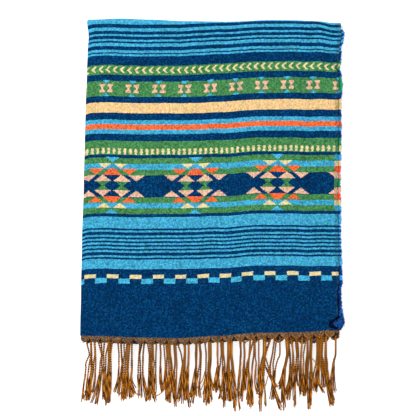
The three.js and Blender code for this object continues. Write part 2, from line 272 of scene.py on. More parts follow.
# %% Place of the pattern on the cloth
# x, and how far the rows hang down there: on the whole front, and more towards the top edge
ROW_WAVE = [(-165, 0.2), (-138, -0.4), (-98, -1.0), (-57, -2.2), (-34, -2.3), (-12, -1.1),
            (24, -0.2), (65, 0.1), (106, 0.9), (140, 2.8), (162, 3.7)]
UPPER_WAVE = [(-90, 0), (-57, 0.1), (-16, -1.4), (24, -1.8), (65, -1.1), (106, -1.4),
              (140, -1.6), (160, -1.2)]
# x, and how far the motifs there are moved to the left
COLUMN_DRIFT = [(-138, 0), (-84, -0.9), (-16, -0.4), (52, 0.6), (92, 1.0), (133, 1.0)]
# dips in the rows near the top: x, y, depth, width, height
DIPS = [(-14, 165, 1.3, 34, 46), (66, 172, 0.8, 30, 46)]


def droop(x, y, tilt):
    """How far the rows of the pattern hang down. tilt adds to it at the right-hand edge."""
    near_top = np.clip((y - 130) / 70, 0, 1)
    at_fold = 3.7 * np.exp(-np.maximum(x - LEFT, 0) / 3.5)
    in_corner = near_top * (1 + 4.4 * np.exp(-np.abs(262 - y) / 24)) * soft_step((x - 138) / 24)
    dips = sum(depth * np.exp(-(((x - cx) / width) ** 2) - ((y - cy) / height) ** 2)
               for cx, cy, depth, width, height in DIPS)
    upper = eased(UPPER_WAVE, x) * np.clip((y - 100) / 90, 0, 1)
    at_edge = tilt * near_top * np.clip(x - 166, 0, 12)
    return at_fold + in_corner + dips + eased(ROW_WAVE, x) + upper + at_edge


def folded_sheet(name, x, depth, u, rows, tilt=0.0):
    """A sheet with a cross profile (x, depth, and u along the cloth) swept along the path."""
    y, z, v = on_path(x, depth, rows)
    x = x + 0 * y
    points = np.stack(place(x, y, z), axis=2)
    uv = np.stack([u + eased(COLUMN_DRIFT, x), v + droop(x, y, tilt)], axis=2)
    piece = lay_sheet(name, points, uv)
    down_a_third = points[:, points.shape[1] // 3]
    length = float(np.linalg.norm(np.diff(down_a_third, axis=0), axis=1).sum())
    area = sheet_area(points)
    print(f"{name}: {len(piece.data.polygons)} faces, {area * 1e4:.0f} cm2, {length:.0f} mm long")
    return piece, area, length


# %% [markdown]
# ## The outer cloth
# The leaf that faces up is the same cloth as the lengthwise fold on the left, the round fold
# along the top, the flat underside and the turn at mid-length. A real scarf has no seam there,
# so neither has the model: one profile goes from the right-hand selvedge to the left, round the
# lengthwise turn and a little way back as the second leaf, and is swept along the whole path.
# Near the lower right corner the edge gives way to the second leaf's curled corner.

# %% Sweep the outer cloth
CURL_Y, CURL_REACH, BITE = -157.0, 8.5, 13.5  # where the corner curls, and what it takes away


def selvedge_reach(leaf, angle):
    """Reach of a leaf's cut edge. Round the top turn it becomes that of the leaf it runs into."""
    twin = SELVEDGE[LEAVES + 1 - leaf]
    return twin + (SELVEDGE[leaf] - twin) * (0.5 + 0.5 * np.sin(angle))


def front_selvedge(rows):
    """Right-hand edge of the outer cloth at each row of the path."""
    base, angle, beyond = rows[:, 0], rows[:, 3], rows[:, 4]
    near_curl = np.sqrt(np.clip(1 - ((base - CURL_Y) / CURL_REACH) ** 2, 0, 1))
    bite = np.where(beyond == 0, BITE * near_curl, 0)
    wander = 0.35 * np.sin(base * 0.31) + 0.3 * np.sin(base * 0.117 + 1)
    upper_corner = 3.0 * np.clip((base - 249) / 6, 0, 1) * (angle > 0)
    drawn_in = 1.7 * np.exp(-((base + 125) / 30) ** 2) * (angle > 0)
    return selvedge_reach(1, angle) - bite - drawn_in + upper_corner + wander


def turned_sheet(name, edge, leaf, parts, back, rows):
    """A sheet that runs from its right-hand edge across a leaf, divided into parts, then round
    the lengthwise turn and a little way back as the next leaf."""
    flat = np.linspace(0, 1, parts + 1)
    bend = np.linspace(0, math.pi, 9)[1:-1]
    back = spaced(0, back, 4)
    radius, first = PITCH / 2, leaf_depth(leaf)
    turn_x = SIDE_TURN_X + np.concatenate([-radius * np.sin(bend), back])
    turn_u = SIDE_TURN_X - np.concatenate([radius * bend, radius * math.pi + back])
    x = np.hstack([edge + flat * (SIDE_TURN_X - edge), turn_x + 0 * edge])
    u = np.hstack([x[:, :len(flat)], turn_u + 0 * edge])
    depth = np.concatenate([first + 0 * flat, first + radius - radius * np.cos(bend),
                            first + PITCH + 0 * back])
    return folded_sheet(name, x, depth[None], u, rows)


outer_cloth, outer_area, outer_length = turned_sheet(
    "outer_cloth", front_selvedge(ROWS)[:, None], leaf=1, parts=98, back=25, rows=ROWS)

# %% [markdown]
# ## The leaves inside
# Only the edges of the inner leaves can be seen: on the right as a little stair of selvedges,
# at the top as rings of cloth inside the fold, and on the left as a second and third turn.
# Each is a strip of cloth about 25 mm deep, made with the same sweep, so it nests inside the
# outer cloth. The second leaf reaches furthest to the right, and its cut edge is ragged.

# %% Sweep the inner leaves
INNER_ROWS = path_rows(3.0, 4.5)
SHORT_ROWS = path_rows(4.0, 5.0, end_y=MID_TURN_Y + 26)
STRIP, TURN_STRIP = 26, 24  # how far the right-hand strips and the inner turn reach inwards
# u runs on from the left-hand turn, so on a leaf that lies under another it is UNDER - x
UNDER = 39.4 + 2 * SIDE_TURN_X
SECOND_TEETH = dict(phase=0.4, height=0.42)


def ragged(y, phase, height):
    """A cut edge's small irregular teeth."""
    return height * (np.sin(y * 0.43 + phase) + 0.7 * np.sin(y * 1.13 + 2 * phase)
                     + 0.6 * np.sin(y * 0.071 + 3 * phase))


def edge_strip(name, leaf, rows, step, **teeth):
    """The right-hand edge of a leaf, round the top turn to the leaf that it becomes."""
    base, angle, beyond = rows[:, 0], rows[:, 3], rows[:, 4]
    right = selvedge_reach(leaf, angle) + ragged(base + beyond, **teeth)
    if leaf == 2:  # drawn in below the front leaf's upper corner
        right -= 3.4 * np.clip((base + TOP_TURN * np.cos(angle) - 254) / 3, 0, 1)
    x = right[:, None] - spaced(0, STRIP, step)[::-1]
    return folded_sheet(name, x, leaf_depth(leaf) + 0 * x[:1], UNDER - x, rows, tilt=-0.42)


second_leaf, second_area, second_length = edge_strip("second_leaf", 2, INNER_ROWS, 1.9,
                                                     **SECOND_TEETH)
third_leaf, third_area, third_length = edge_strip("third_leaf", 3, INNER_ROWS, 5,
                                                  phase=1.9, height=0.25)
fourth_leaf, fourth_area, fourth_length = edge_strip("fourth_leaf", 4, SHORT_ROWS, 5,
                                                     phase=3.1, height=0.25)
inner_turn, inner_area, inner_length = turned_sheet(
    "inner_left_turn", SIDE_TURN_X + TURN_STRIP + 0 * SHORT_ROWS[:, :1], leaf=3, parts=6,
    back=TURN_STRIP, rows=SHORT_ROWS)

# %% [markdown]
# ## Maths on sockets
# A woven pattern is arithmetic: this row, that stripe, a triangle as wide as it is high. Math
# nodes can do it, but a long chain is hard to read. So a small class wraps a socket, and an
# expression in Python adds the Math nodes for us.


# %% A socket that can be calculated with
class Number:
    """A number in a node tree. Each operation on it adds one Math node."""

    def __init__(self, finish, socket):
        self.finish, self.socket = finish, socket

    def maths(self, operation, *values):
        return self.finish.node("ShaderNodeMath", dict(operation=operation), *values)

    def __add__(self, other): return self.maths("ADD", self, other)
    def __radd__(self, other): return self.maths("ADD", other, self)
    def __sub__(self, other): return self.maths("SUBTRACT", self, other)
    def __rsub__(self, other): return self.maths("SUBTRACT", other, self)
    def __mul__(self, other): return self.maths("MULTIPLY", self, other)
    def __rmul__(self, other): return self.maths("MULTIPLY", other, self)
    def __truediv__(self, other): return self.maths("DIVIDE", self, other)
    def __mod__(self, other): return self.maths("FLOORED_MODULO", self, other)
    def __lt__(self, other): return self.maths("LESS_THAN", self, other)
    def __gt__(self, other): return self.maths("GREATER_THAN", self, other)
    def __abs__(self): return self.maths("ABSOLUTE", self)
    def sine(self): return self.maths("SINE", self)
    def floor(self): return self.maths("FLOOR", self)
    def at_least(self, other): return self.maths("MAXIMUM", self, other)
    def at_most(self, other): return self.maths("MINIMUM", self, other)


# %% [markdown]
# ## Materials that nodes are added to
# Every finish starts as a Principled shader, with the numbers that are the same all over set on
# its own sockets. One method adds a node of any kind, and a few short ones add those that come
# back again and again: a mix of colours, noise, a bump.


# %% A material that nodes are added to
def dye(code):
    """Linear colour from a hexadecimal sRGB one."""
    parts = [int(code[n:n + 2], 16) / 255 for n in (1, 3, 5)]
    return (*[p / 12.92 if p <= 0.04045 else ((p + 0.055) / 1.055) ** 2.4 for p in parts], 1.0)


class Finish:
    """One material, its tree and its shader."""

    def __init__(self, name, **fixed):
        self.material = bpy.data.materials.new(name)
        self.material.use_nodes = True
        self.tree = self.material.node_tree
        self.shader = self.tree.nodes["Principled BSDF"]
        for socket, value in fixed.items():
            self.shader.inputs[socket.replace("_", " ")].default_value = value

    def wire(self, value, socket):
        """Links a number to a socket, or sets the socket's own value."""
        if isinstance(value, Number):
            self.tree.links.new(value.socket, socket)
        elif value is not None:
            socket.default_value = value

    def node(self, kind, settings=None, *values, out=0, **named):
        """Adds a node. Settings come first, then the values or links of its sockets."""
        node = self.tree.nodes.new(kind)
        for name, value in (settings or {}).items():
            if name == "stops":
                ramp = node.color_ramp
                ramp.interpolation = "CONSTANT"
                while len(ramp.elements) < len(value):
                    ramp.elements.new(0.5)
                for element, (position, colour) in zip(ramp.elements, value):
                    element.position, element.color = position, colour
            else:
                setattr(node, name, value)
        for socket, value in zip(node.inputs, values):
            self.wire(value, socket)
        for name, value in named.items():
            self.wire(value, node.inputs[name.replace("_", " ")])
        return Number(self, node.outputs[out])

    def mix(self, factor, below, above):
        """Colour mix, with the colour above where factor is 1. A Mix node has sockets for every
        kind of value, and those for colours are inputs 6 and 7 and output 2."""
        node = self.tree.nodes.new("ShaderNodeMix")
        node.data_type = "RGBA"
        for n, value in ((0, factor), (6, below), (7, above)):
            self.wire(value, node.inputs[n])
        return Number(self, node.outputs[2])

    def shade(self, colour, amount):
        """A colour made lighter or darker by a number around 1."""
        scaled = self.node("ShaderNodeVectorMath", dict(operation="SCALE"), colour)
        self.wire(amount, scaled.socket.node.inputs["Scale"])
        return scaled

    def tinted(self, colour, tint, amount):
        """A colour whose red, green and blue each wander with those of a random tint."""
        scale = self.node("ShaderNodeVectorMath", dict(operation="MULTIPLY_ADD"), tint,
                          (amount,) * 3, (1 - amount / 2,) * 3)
        return self.node("ShaderNodeVectorMath", dict(operation="MULTIPLY"), colour, scale)

    def cloth_place(self):
        """The two coordinates of the piece's own UV map, in millimetres."""
        uv = self.node("ShaderNodeUVMap", dict(uv_map="Cloth"))
        x = self.node("ShaderNodeSeparateXYZ", None, uv)
        y = Number(self, x.socket.node.outputs["Y"])
        return x * 1000, y * 1000

    def noise(self, scale, detail=2.0, rough=0.5, of=None):
        """Noise from 0 to 1 on Object coordinates, or on the vector given."""
        of = of or self.node("ShaderNodeTexCoord", None, out="Object")
        return self.node("ShaderNodeTexNoise", None, Vector=of, Scale=scale, Detail=detail,
                         Roughness=rough)

    def bump(self, height, distance, strength):
        """A normal that leans as a height of the given distance in metres would make it."""
        return self.node("ShaderNodeBump", None, Height=height, Distance=distance,
                         Strength=strength)

    def finish(self, **links):
        """Wires what varies over the surface to the shader."""
        for socket, value in links.items():
            self.wire(value, self.shader.inputs[socket.replace("_", " ")])
        return self.material


print("a sky blue dye in linear colour:", [round(c, 3) for c in dye("#3b99bc")[:3]])

# %% [markdown]
# ## The woven pattern
# The scarf is striped across its width, in the geometric style of highland weaving: fine
# blue stripes, arrowheads, hourglasses and stepped diamonds. A weaver charts it by counting
# rows, and so do we. The stripes are counts of threads from the header upwards, held in colour
# ramps, and each motif is a comparison of two distances. Distances are first rounded to a
# thread, so slanting edges come out in small steps, as they do in weaving.

# %% Chart of the stripes
THREAD = 0.86
FLOAT = 2 * THREAD  # length of yarn that shows between two crossings
# each stripe is a colour and a count of threads, from the header upwards
FINE = [("navy", 3), ("sky", 3), ("navy", 5), *[("sky", 3), ("navy", 3)] * 4, ("sky", 3),
        ("navy", 5), ("sky", 3), ("navy", 3)]
MEDALLION_PANEL = [("navy", 5), ("green", 9), ("sky", 8), ("green", 9), ("navy", 35),
                   ("green", 9), ("sky", 9), ("green", 9), ("navy", 5)]
BANDS = [("green", 22), ("navy", 11), ("sky", 7), ("orange", 8), ("sky", 7), ("navy", 11),
         ("cream", 16), ("navy", 10), ("green", 24), ("navy", 10), ("green", 15), ("navy", 15)]
UPPER_FINE = [("sky", 3), ("navy", 2), ("sky", 4), ("navy", 6), ("sky", 5), ("navy", 3),
              ("sky", 3), ("navy", 5), ("sky", 3), ("navy", 5), ("sky", 5), ("navy", 6)]
STRIPES = [("navy", 106), ("sky", 15), *FINE, ("sky", 18), *MEDALLION_PANEL, *BANDS,
           *UPPER_FINE, ("sky", 14)]
V_TOP = 438.0  # where the pattern turns back on itself, past the top fold
RAMP_SPAN = 90.0  # a ramp is read from a short table, so each covers only a short stretch

starts, colours, total = [], [], 0.0
for colour, threads in STRIPES:
    starts.append(total)
    colours.append(colour)
    total += threads * THREAD
print(len(STRIPES), "stripes,", round(total, 1), "mm")


def ramp_stops(low, dyes):
    """Ramp stops for the stripes between low and low + RAMP_SPAN."""
    first = max(n for n, start in enumerate(starts) if start <= low)
    stops = [(0.0, dyes[colours[first]])]
    for start, colour in zip(starts, colours):
        if low < start < low + RAMP_SPAN:
            stops.append(((start - low) / RAMP_SPAN, dyes[colour]))
    return stops


def striped(f, v, dyes):
    """Colour of the stripes at a height of v mm above the header."""
    for n in range(math.ceil(V_TOP / RAMP_SPAN)):
        low = n * RAMP_SPAN
        stripe = f.node("ShaderNodeValToRGB", dict(stops=ramp_stops(low, dyes)),
                        (v - low) * (1 / RAMP_SPAN))
        colour = f.mix(v > low, colour, stripe) if n else stripe
    return colour


# %% [markdown]
# ## Motifs between the stripes
# Rows of small figures run between the stripes. Each kind repeats across the cloth, so a place
# within one repeat is all we need to know. A figure is where the distance from its middle is less
# than a half width, which grows or shrinks from row to row. The medallions are five such rows,
# each in its own yarn, the same above and below their middle and to either side.


# %% Chart of the motifs
def inside(*tests):
    """1 where all the tests hold."""
    mask = tests[0]
    for test in tests[1:]:
        mask = mask * test
    return mask


def between(value, low, high):
    """1 where a value lies between two others."""
    return inside(value > low, value < high)


def from_nearest(u, middle, pitch):
    """Distance from the middle of the nearest of the figures that stand a pitch apart."""
    return abs((u - middle + pitch / 2) % pitch - pitch / 2)


def arrowheads(f, colour, u, v, dyes):
    """Arrowheads that point to the left: two arms that lean back from their middle row."""
    lean, pitch, arm_width, half_height = 0.96, 9.76, 3.3, 4.5
    off = abs(v - 361.0)
    arm = (u + 158.6 - off * lean) % pitch
    return f.mix(inside(arm < arm_width, off < half_height), colour, dyes["straw"])


def hourglasses(f, colour, u, v, dyes):
    """Hourglasses in pairs, with a blue tooth above and below each pair."""
    aside, waist, widest, half_height = 5.4, 1.15, 3.7, 5.6
    off, du = abs(v - 335.7), from_nearest(u, -147.4, 35.5)
    glass = abs(du - aside) < (waist + (off - 0.7).at_least(0) * 0.95).at_most(widest)
    colour = f.mix(inside(glass, off < half_height), colour, dyes["pink"])
    tooth = inside(du < (off - 6.6) * 1.15, off < 10.9)
    return f.mix(tooth, colour, dyes["bright"])


def dots(f, colour, u, v, dyes):
    """A row of small dots, each with its waist at a height of its own."""
    pitch, half_pitch, waist, swell, half_height = 7.35, 3.67, 1.15, 0.95, 3.8
    dot, off = (u + 171.3 + half_pitch) / pitch, v - 250.6
    chance = f.node("ShaderNodeTexWhiteNoise", dict(noise_dimensions="1D"), W=dot.floor())
    du = abs((dot % 1) * pitch - half_pitch)
    half_width = waist + abs((off * 0.62 + chance * 2.6).sine()) * swell
    return f.mix(inside(du < half_width, abs(off) < half_height), colour, dyes["straw"])


# the rows of a medallion: yarn, lowest and highest distance from its middle, and the figures in
# it, each as (distance aside, where its half width is nothing, growth of the half width per mm)
MEDALLION_ROWS = [("green", -1, 6.0, [(12.8, -1.2, 1.25)]),
                  ("pink", 6.0, 14.8, [(12.8, 15.0, -1.3), (32.4, 6.4, 1.33)]),
                  ("orange", 14.8, 22.7, [(0, 26.7608, -1.02), (22.4, 15.2, 1.32)]),
                  ("straw", 23.2, 30.2, [(10.7, 23.4, 1.38)]),
                  ("bright", 30.5, 38.3, [(0, 31.8, 1.4)])]


def medallions(f, colour, u, v, dyes, margin):
    """Stepped medallions. At the margin of the cloth each row is filled with its own yarn."""
    du, off = from_nearest(u, -22.9, 112.9), abs(v - 204.0)
    for yarn, low, high, figures in MEDALLION_ROWS:
        mask = margin
        for aside, nothing_at, growth in figures:
            mask = (abs(du - aside) < (off - nothing_at) * growth).at_least(mask)
        colour = f.mix(inside(between(off, low, high), mask > 0.5), colour, dyes[yarn])
    return colour


def dashes(f, colour, u, v, dyes):
    """Long dashes, cream above and blue below, by turns."""
    pitch, cream_end, blue_start = 30.3, 15.2, 15.0
    low, middle, high = 71.3, 78.2, 83.2
    du = (u + 170.4) % pitch
    colour = f.mix(inside(du < cream_end, between(v, middle, high)), colour, dyes["straw"])
    return f.mix(inside(du > blue_start, between(v, low, middle)), colour, dyes["bright"])


def chart(f, u, v, dyes, margin):
    """Colour of the yarn at (u, v) mm of cloth."""
    colour = striped(f, v, dyes)
    for motif in (arrowheads, hourglasses, dots):
        colour = motif(f, colour, u, v, dyes)
    colour = medallions(f, colour, u, v, dyes, margin)
    return dashes(f, colour, u, v, dyes)


print(len(MEDALLION_ROWS), "rows of figures in each half of a medallion")

# %% [markdown]
# ## Yarn and nap
# Close up, the cloth is a fine bird's-eye twill: dots of yarn in slanting order. Brushing has
# raised a slight nap, so every colour is mottled and the threads stand out unevenly. The same
# twill lightens the colour and raises the bump. Sheen is a plain number on the shader.

# %% Cloth finishes
DYES = dict(navy="#002e58", sky="#3b99bc", bright="#3ea2c4", green="#407a46", cream="#deb881",
            straw="#d4c694", orange="#e16133", pink="#d6aa90", speck="#177093")
EDGE_DYES = dict(navy="#04377c", sky="#3b9fd6", bright="#379fdc", green="#1a8c58",
                 cream="#dfba6c", straw="#dcc488", orange="#e04c20", pink="#e0907c",
                 speck="#2e7ccc")


def birds_eye(f, u, v):
    """Floats of the bird's-eye: bricks of two threads by two. Gives each brick's random tint and
    tone, and a dot that is highest in the middle of its float."""
    brick_row = (v / FLOAT).floor()
    shifted = u / FLOAT + (brick_row % 2) * 0.5
    brick = f.node("ShaderNodeCombineXYZ", None, shifted.floor(), brick_row, 0.0)
    tint = f.node("ShaderNodeTexWhiteNoise", dict(noise_dimensions="2D"), Vector=brick,
                  out="Color")
    chance = f.node("ShaderNodeTexWhiteNoise", dict(noise_dimensions="2D"), Vector=brick)
    across, along = (shifted % 1 - 0.5) * 2, (v / FLOAT % 1 - 0.5) * 2
    slant = across + along * 0.7  # each float leans, as the twill does
    dot = (1.0 - slant * slant).at_least(0) * (1.0 - along * along)
    return tint, chance, dot


def woven(name, palette, specks, under=None):
    """A woven cloth in one set of dyes. under turns u into x on a leaf that lies under another, and
    then paints shade on that leaf beside the leaf above.
    """
    f = Finish(name, Sheen_Weight=0.02, Sheen_Roughness=0.5, Specular_IOR_Level=0.03)
    dyes = {key: dye(code) for key, code in palette.items()}
    u, v = f.cloth_place()
    v = V_TOP - abs(v - V_TOP)
    # rounded to threads, with the threads themselves a little uneven
    tremble = (f.noise(260, 1.0) - 0.5) * 1.3
    row = ((v + tremble) / THREAD).floor()
    column = ((u + tremble + (row % 2) * (THREAD / 2)) / THREAD).floor()
    x = u if under is None else under - u
    margin = ((x - 166.9) * 0.9).at_least(0).at_most(1)
    yarn = chart(f, (column + 0.5) * THREAD, (row + 0.5) * THREAD, dyes, margin)
    tint, chance, dot = birds_eye(f, u, v)
    patches, nap, grain = f.noise(38, 2.0), f.noise(900, 2.0, 0.6), f.noise(560, 1.0, 0.6)
    if under is None:  # dull, mixed yarn beside the cut edge
        yarn = f.mix(margin * 0.34, yarn, dye("#1f3f48"))
    # dark yarn is mottled more and pale yarn less, and dark yarn is flecked with blue
    light = f.node("ShaderNodeRGBToBW", None, yarn)
    pale = ((light - 0.3) * 2).at_least(0).at_most(0.45)
    dark = ((0.22 - light) * 6).at_least(0).at_most(1)
    fleck = inside(chance > 0.74, (grain * 2 + patches) > 1.45)
    yarn = f.mix(fleck * specks * dark, yarn, dyes["speck"])
    yarn = f.tinted(yarn, tint, 0.28)
    mottle = ((chance - 0.5) * 0.75 + (dot - 0.36) * 0.8 + (grain - 0.5) * 0.8
              + (nap - 0.5) * 0.6 + (patches - 0.5) * 0.25)
    level = (1.0 + mottle * (1.0 + dark * 0.3 - pale)).at_least(0.1)
    if under is not None:  # painted shade beside the leaf above, darkest in the hollow under the curled corner
        level = level * ((x - 169.4) * 0.42).at_least(0.12).at_most(1)
    height = dot * 0.6 + nap * 0.8 + chance * 0.35
    return f.finish(Base_Color=f.shade(yarn, level), Roughness=0.84 + nap * 0.14,
                    Normal=f.bump(height, 0.0003, 0.8))


cloth_finish = woven("woven_cloth", DYES, 0.11)
# the second, third and fourth leaves get painted shade beside the leaf above
edge_finish = woven("woven_cloth_edge", EDGE_DYES, 0.2, under=UNDER)
for piece in (outer_cloth, inner_turn):
    piece.data.materials.append(cloth_finish)
for piece in (second_leaf, third_leaf, fourth_leaf):
    piece.data.materials.append(edge_finish)
print(len(cloth_finish.node_tree.nodes), "nodes in the woven cloth")

# %% [markdown]
# ## Lengths of yarn
# A cord of the fringe is two yarns twisted round each other, so its section is like a figure of
# eight that turns as it goes along. Blender could sweep a curve, but a curve can't turn its own
# section unevenly or lie in a bunch. So each cord is a ring of eight points carried along a
# line, and a strand of its frayed end a thin ring of five that tapers. Many lengths are
# gathered in one mesh, with the tone of each yarn, and its painted light and shade, kept as an
# attribute for its finish.


# %% Helpers for yarn
LIT, END_TONE = 1.36, 0.4  # painted highlight on the crown of a yarn, and tone at its cut ends


def lengths_along(line):
    """Length of a line of points from its start to each of them."""
    return np.concatenate([[0], np.cumsum(np.linalg.norm(np.diff(line, axis=0), axis=1))])


class Bundle:
    """Collects lengths of yarn and makes one mesh of them."""

    def __init__(self):
        self.points, self.quads, self.caps = [], [], []
        self.uv, self.cap_uv, self.tones = [], [], []
        self.count = 0

    def add(self, line, radius, sides=8, ply=0.0, turn=6.0, phase=0.0, tone=1.0, edge=0.34):
        """Adds one length along a line of points in mm. ply is the depth of the groove, and edge
        the painted shade of its flanks, where yarn lies against yarn; its crown gets the painted
        highlight LIT."""
        n, s = len(line), lengths_along(line)
        radius = np.zeros(n) + radius
        tangent = np.gradient(line, axis=0)
        tangent /= np.linalg.norm(tangent, axis=1)[:, None]
        side = np.cross(tangent, [0.0, 0.0, 1.0]) + 1e-9
        side /= np.linalg.norm(side, axis=1)[:, None]
        up = np.cross(side, tangent)
        k = np.arange(sides) * 2 * math.pi / sides
        r = radius[:, None] * (1 - ply + ply * np.abs(np.cos(k)))
        angle = k + (phase + 2 * math.pi * s / turn)[:, None]
        ring = (line[:, None] + side[:, None] * (r * np.cos(angle))[..., None]
                + up[:, None] * (r * np.sin(angle))[..., None])
        self.points.append(np.concatenate([ring.reshape(-1, 3), line[:1], line[-1:]]))
        # painted light and shade: each ring is darkest on its flanks and lightest where it faces
        # straight up or down
        height = np.abs(ring[..., 2] - line[:, None, 2]) / radius[:, None]
        shade = edge + (LIT - edge) * np.clip(height, 0, 1) ** 1.3
        self.tones.append(np.concatenate([(tone * shade).ravel(), [tone * END_TONE] * 2]))
        self.add_faces(n, s, sides)

    def add_faces(self, n, s, sides):
        """The faces of n rings at lengths s, with a fan to a pole at either end."""
        i, j = (v.ravel() for v in np.meshgrid(np.arange(n - 1), np.arange(sides), indexing="ij"))
        a, b = self.count + i * sides + j, self.count + i * sides + (j + 1) % sides
        self.quads.append(np.stack([a, a + sides, b + sides, b], 1))
        low, high = j / sides, (j + 1) / sides
        self.uv.append(np.stack([low, s[i], low, s[i + 1], high, s[i + 1], high, s[i]], 1))
        first = self.count + np.arange(sides)
        last, poles = first + (n - 1) * sides, self.count + n * sides
        self.caps.append(np.stack([first, np.roll(first, -1), 0 * first + poles], 1))
        self.caps.append(np.stack([np.roll(last, -1), last, 0 * last + poles + 1], 1))
        for end in (0, s[-1]):
            self.cap_uv.append(np.tile([0.0, end], (sides, 3)))
        self.count += n * sides + 2

    def make(self, name):
        """The mesh of all lengths, in metres."""
        faces = np.concatenate(self.quads).tolist() + np.concatenate(self.caps).tolist()
        mesh = bpy.data.meshes.new(name)
        mesh.from_pydata((np.concatenate(self.points) * MM).tolist(), [], faces)
        uv = np.concatenate([np.concatenate(self.uv).ravel(), np.concatenate(self.cap_uv).ravel()])
        uv[1::2] *= MM
        mesh.uv_layers.new(name="Yarn").data.foreach_set("uv", uv)
        mesh.attributes.new("tone", "FLOAT", "POINT").data.foreach_set(
            "value", np.concatenate(self.tones))
        mesh.update()
        piece = bpy.data.objects.new(name, mesh)
        bpy.context.scene.collection.objects.link(piece)
        smooth(piece, 80)
        print(name + ":", sum(len(f) - 2 for f in faces), "triangles")
        return piece


def spline(points, step):
    """A smooth line through points, with its own points a step apart."""
    p = np.array(points, float)
    p = np.concatenate([2 * p[:1] - p[1:2], p, 2 * p[-1:] - p[-2:-1]])
    t = np.linspace(0, 1, 12, endpoint=False)[:, None]
    line = [0.5 * (2 * b + (c - a) * t + (2 * a - 5 * b + 4 * c - d) * t**2
                   + (3 * b - a - 3 * c + d) * t**3)
            for a, b, c, d in zip(p, p[1:], p[2:], p[3:])]
    line = np.concatenate(line + [p[-2:-1]])
    s = lengths_along(line)
    at = np.linspace(0, s[-1], max(3, round(s[-1] / step) + 1))
    return np.stack([np.interp(at, s, line[:, n]) for n in range(3)], axis=1)


# %% [markdown]
# ## Headers
# Where the weaving stops, the warp is gathered into bundles so that the weft can't slip out.
# The last rows pull down into rounded teeth, speckled with the warp's tan, and two yarns run
# along each tooth's edges and meet below it. A tooth is part of the cloth, so the header is one
# strip with a scalloped lower edge, a little domed over each tooth. Below it lies the second
# leaf's header, the same but dark: it shows its navy side, and painted shade darkens it more.

# %% Model the headers
# middle of each tooth
TEETH = [-173.7, -158.8, -143.8, -129.6, -114.7, -97.7, -84.4, -68.7, -53.7, -38.1, -23.2, -9.1,
         6.4, 21.7, 37.7, 52.7, 67.6, 82.5, 100.4, 114.7, 131.2, 145.2, 160.1]
TOOTH_HALF = 7.068  # half the width of a tooth at its root
# rows of the strip, as shares of its depth. The first lies inside the cloth above.
SHARES = np.array([-0.22, 0.02, 0.2, 0.4, 0.62, 0.82, 0.94, 1])[:, None]


def rounded_off(t, least=0):
    """Falls from 1 to the root of least as a quarter circle does, while t goes from 0 to 1."""
    return np.sqrt(np.clip(1 - np.clip(t, 0, 1) ** 2, least, 1))


def header_strip(name, height, right, teeth, slack, depth, thickness, dome):
    """A scalloped strip. slack is how deep it is between teeth, depth(x) how deep at a tooth."""
    x = spaced(LEFT + 1.2, right, 0.75)
    real_x = place(x, HEADER_LINE + 0 * x, 0 * x)[0]
    off = np.abs(real_x[:, None] - np.array(teeth)).min(axis=1)
    lobe = rounded_off(off / TOOTH_HALF)
    reach = slack + (depth(x) - slack) * lobe + 0.25 * np.sin(x * 1.9) + 0.2 * np.sin(x * 0.83)
    reach *= rounded_off((x - right + 13) / 14, least=0.02)
    reach *= rounded_off((LEFT + 7 - x) / 7, least=0.1)
    y = HEADER_LINE - 0.1 - SHARES * reach
    z = (height + dome * lobe * np.sin(math.pi * SHARES * 0.9) - 0.9 * SHARES**2
         - 0.7 * (SHARES < 0.1) - 0.6 * (SHARES < 0))
    points = np.stack(place(x + 0 * y, y, z), axis=2)
    uv = np.stack([x + 0 * y, -SHARES * reach], axis=2)
    return lay_sheet(name, points, uv, thickness)


def deep_to_the_right(x):
    """Depth of the teeth of the lower front header, which show more towards the right."""
    grown = 9.6 + 4.2 * np.clip((x - 30) / 60, 0, 1) + 2.4 * np.clip((x - 88) / 28, 0, 1)
    return grown + 0.9 * np.sin(x * 0.37)


header_front = header_strip(
    "header_front", height=STACK - LEAF / 2 + 0.1, right=169.5, teeth=TEETH, slack=2.2,
    depth=lambda x: 8.4 + 0.6 * np.sin(x * 0.9), thickness=1.6, dome=0.7)
between_teeth = [0.5 * (a + b) for a, b in zip(TEETH, TEETH[1:])]
header_front_under = header_strip(
    "header_front_under", height=STACK - leaf_depth(2) - 0.35, right=173,
    teeth=between_teeth + [168.5], slack=7.2, depth=deep_to_the_right, thickness=1.5, dome=0.3)
header_rear = header_strip(
    "header_rear", height=STACK - leaf_depth(3), right=171.5, teeth=[t + 5 for t in TEETH],
    slack=2.4, depth=lambda x: 9.6 + 0.6 * np.sin(x * 0.7), thickness=1.6, dome=0.5)
header_rear_under = header_strip(
    "header_rear_under", height=STACK - leaf_depth(4), right=172.5, teeth=[t - 3 for t in TEETH],
    slack=5.5, depth=lambda x: 8.6 + 0.7 * np.sin(x * 0.41), thickness=1.5, dome=0.3)
HEADERS = (header_front, header_front_under, header_rear, header_rear_under)
print("header faces", [len(h.data.polygons) for h in HEADERS])

# %% [markdown]
# ## Fringe
# Every tooth ends in a few cords. A cord starts under the header, drops to the surface and lies
# there. Cords cling together in bunches, and below its last turn each loosens into strands. The
# course of every cord is charted in steps of 1.357 mm from the left-hand edge: where it
# leaves the header, where it is 10, 20, 30 and 40 steps lower, and where and how low it ends.

# %% Chart of the cords
STEP, MIDDLE_STEP = 1.357, 132  # size of a step in mm, and the step at x = 0
FRINGE_TOP = -177.8  # y of step 0 downwards
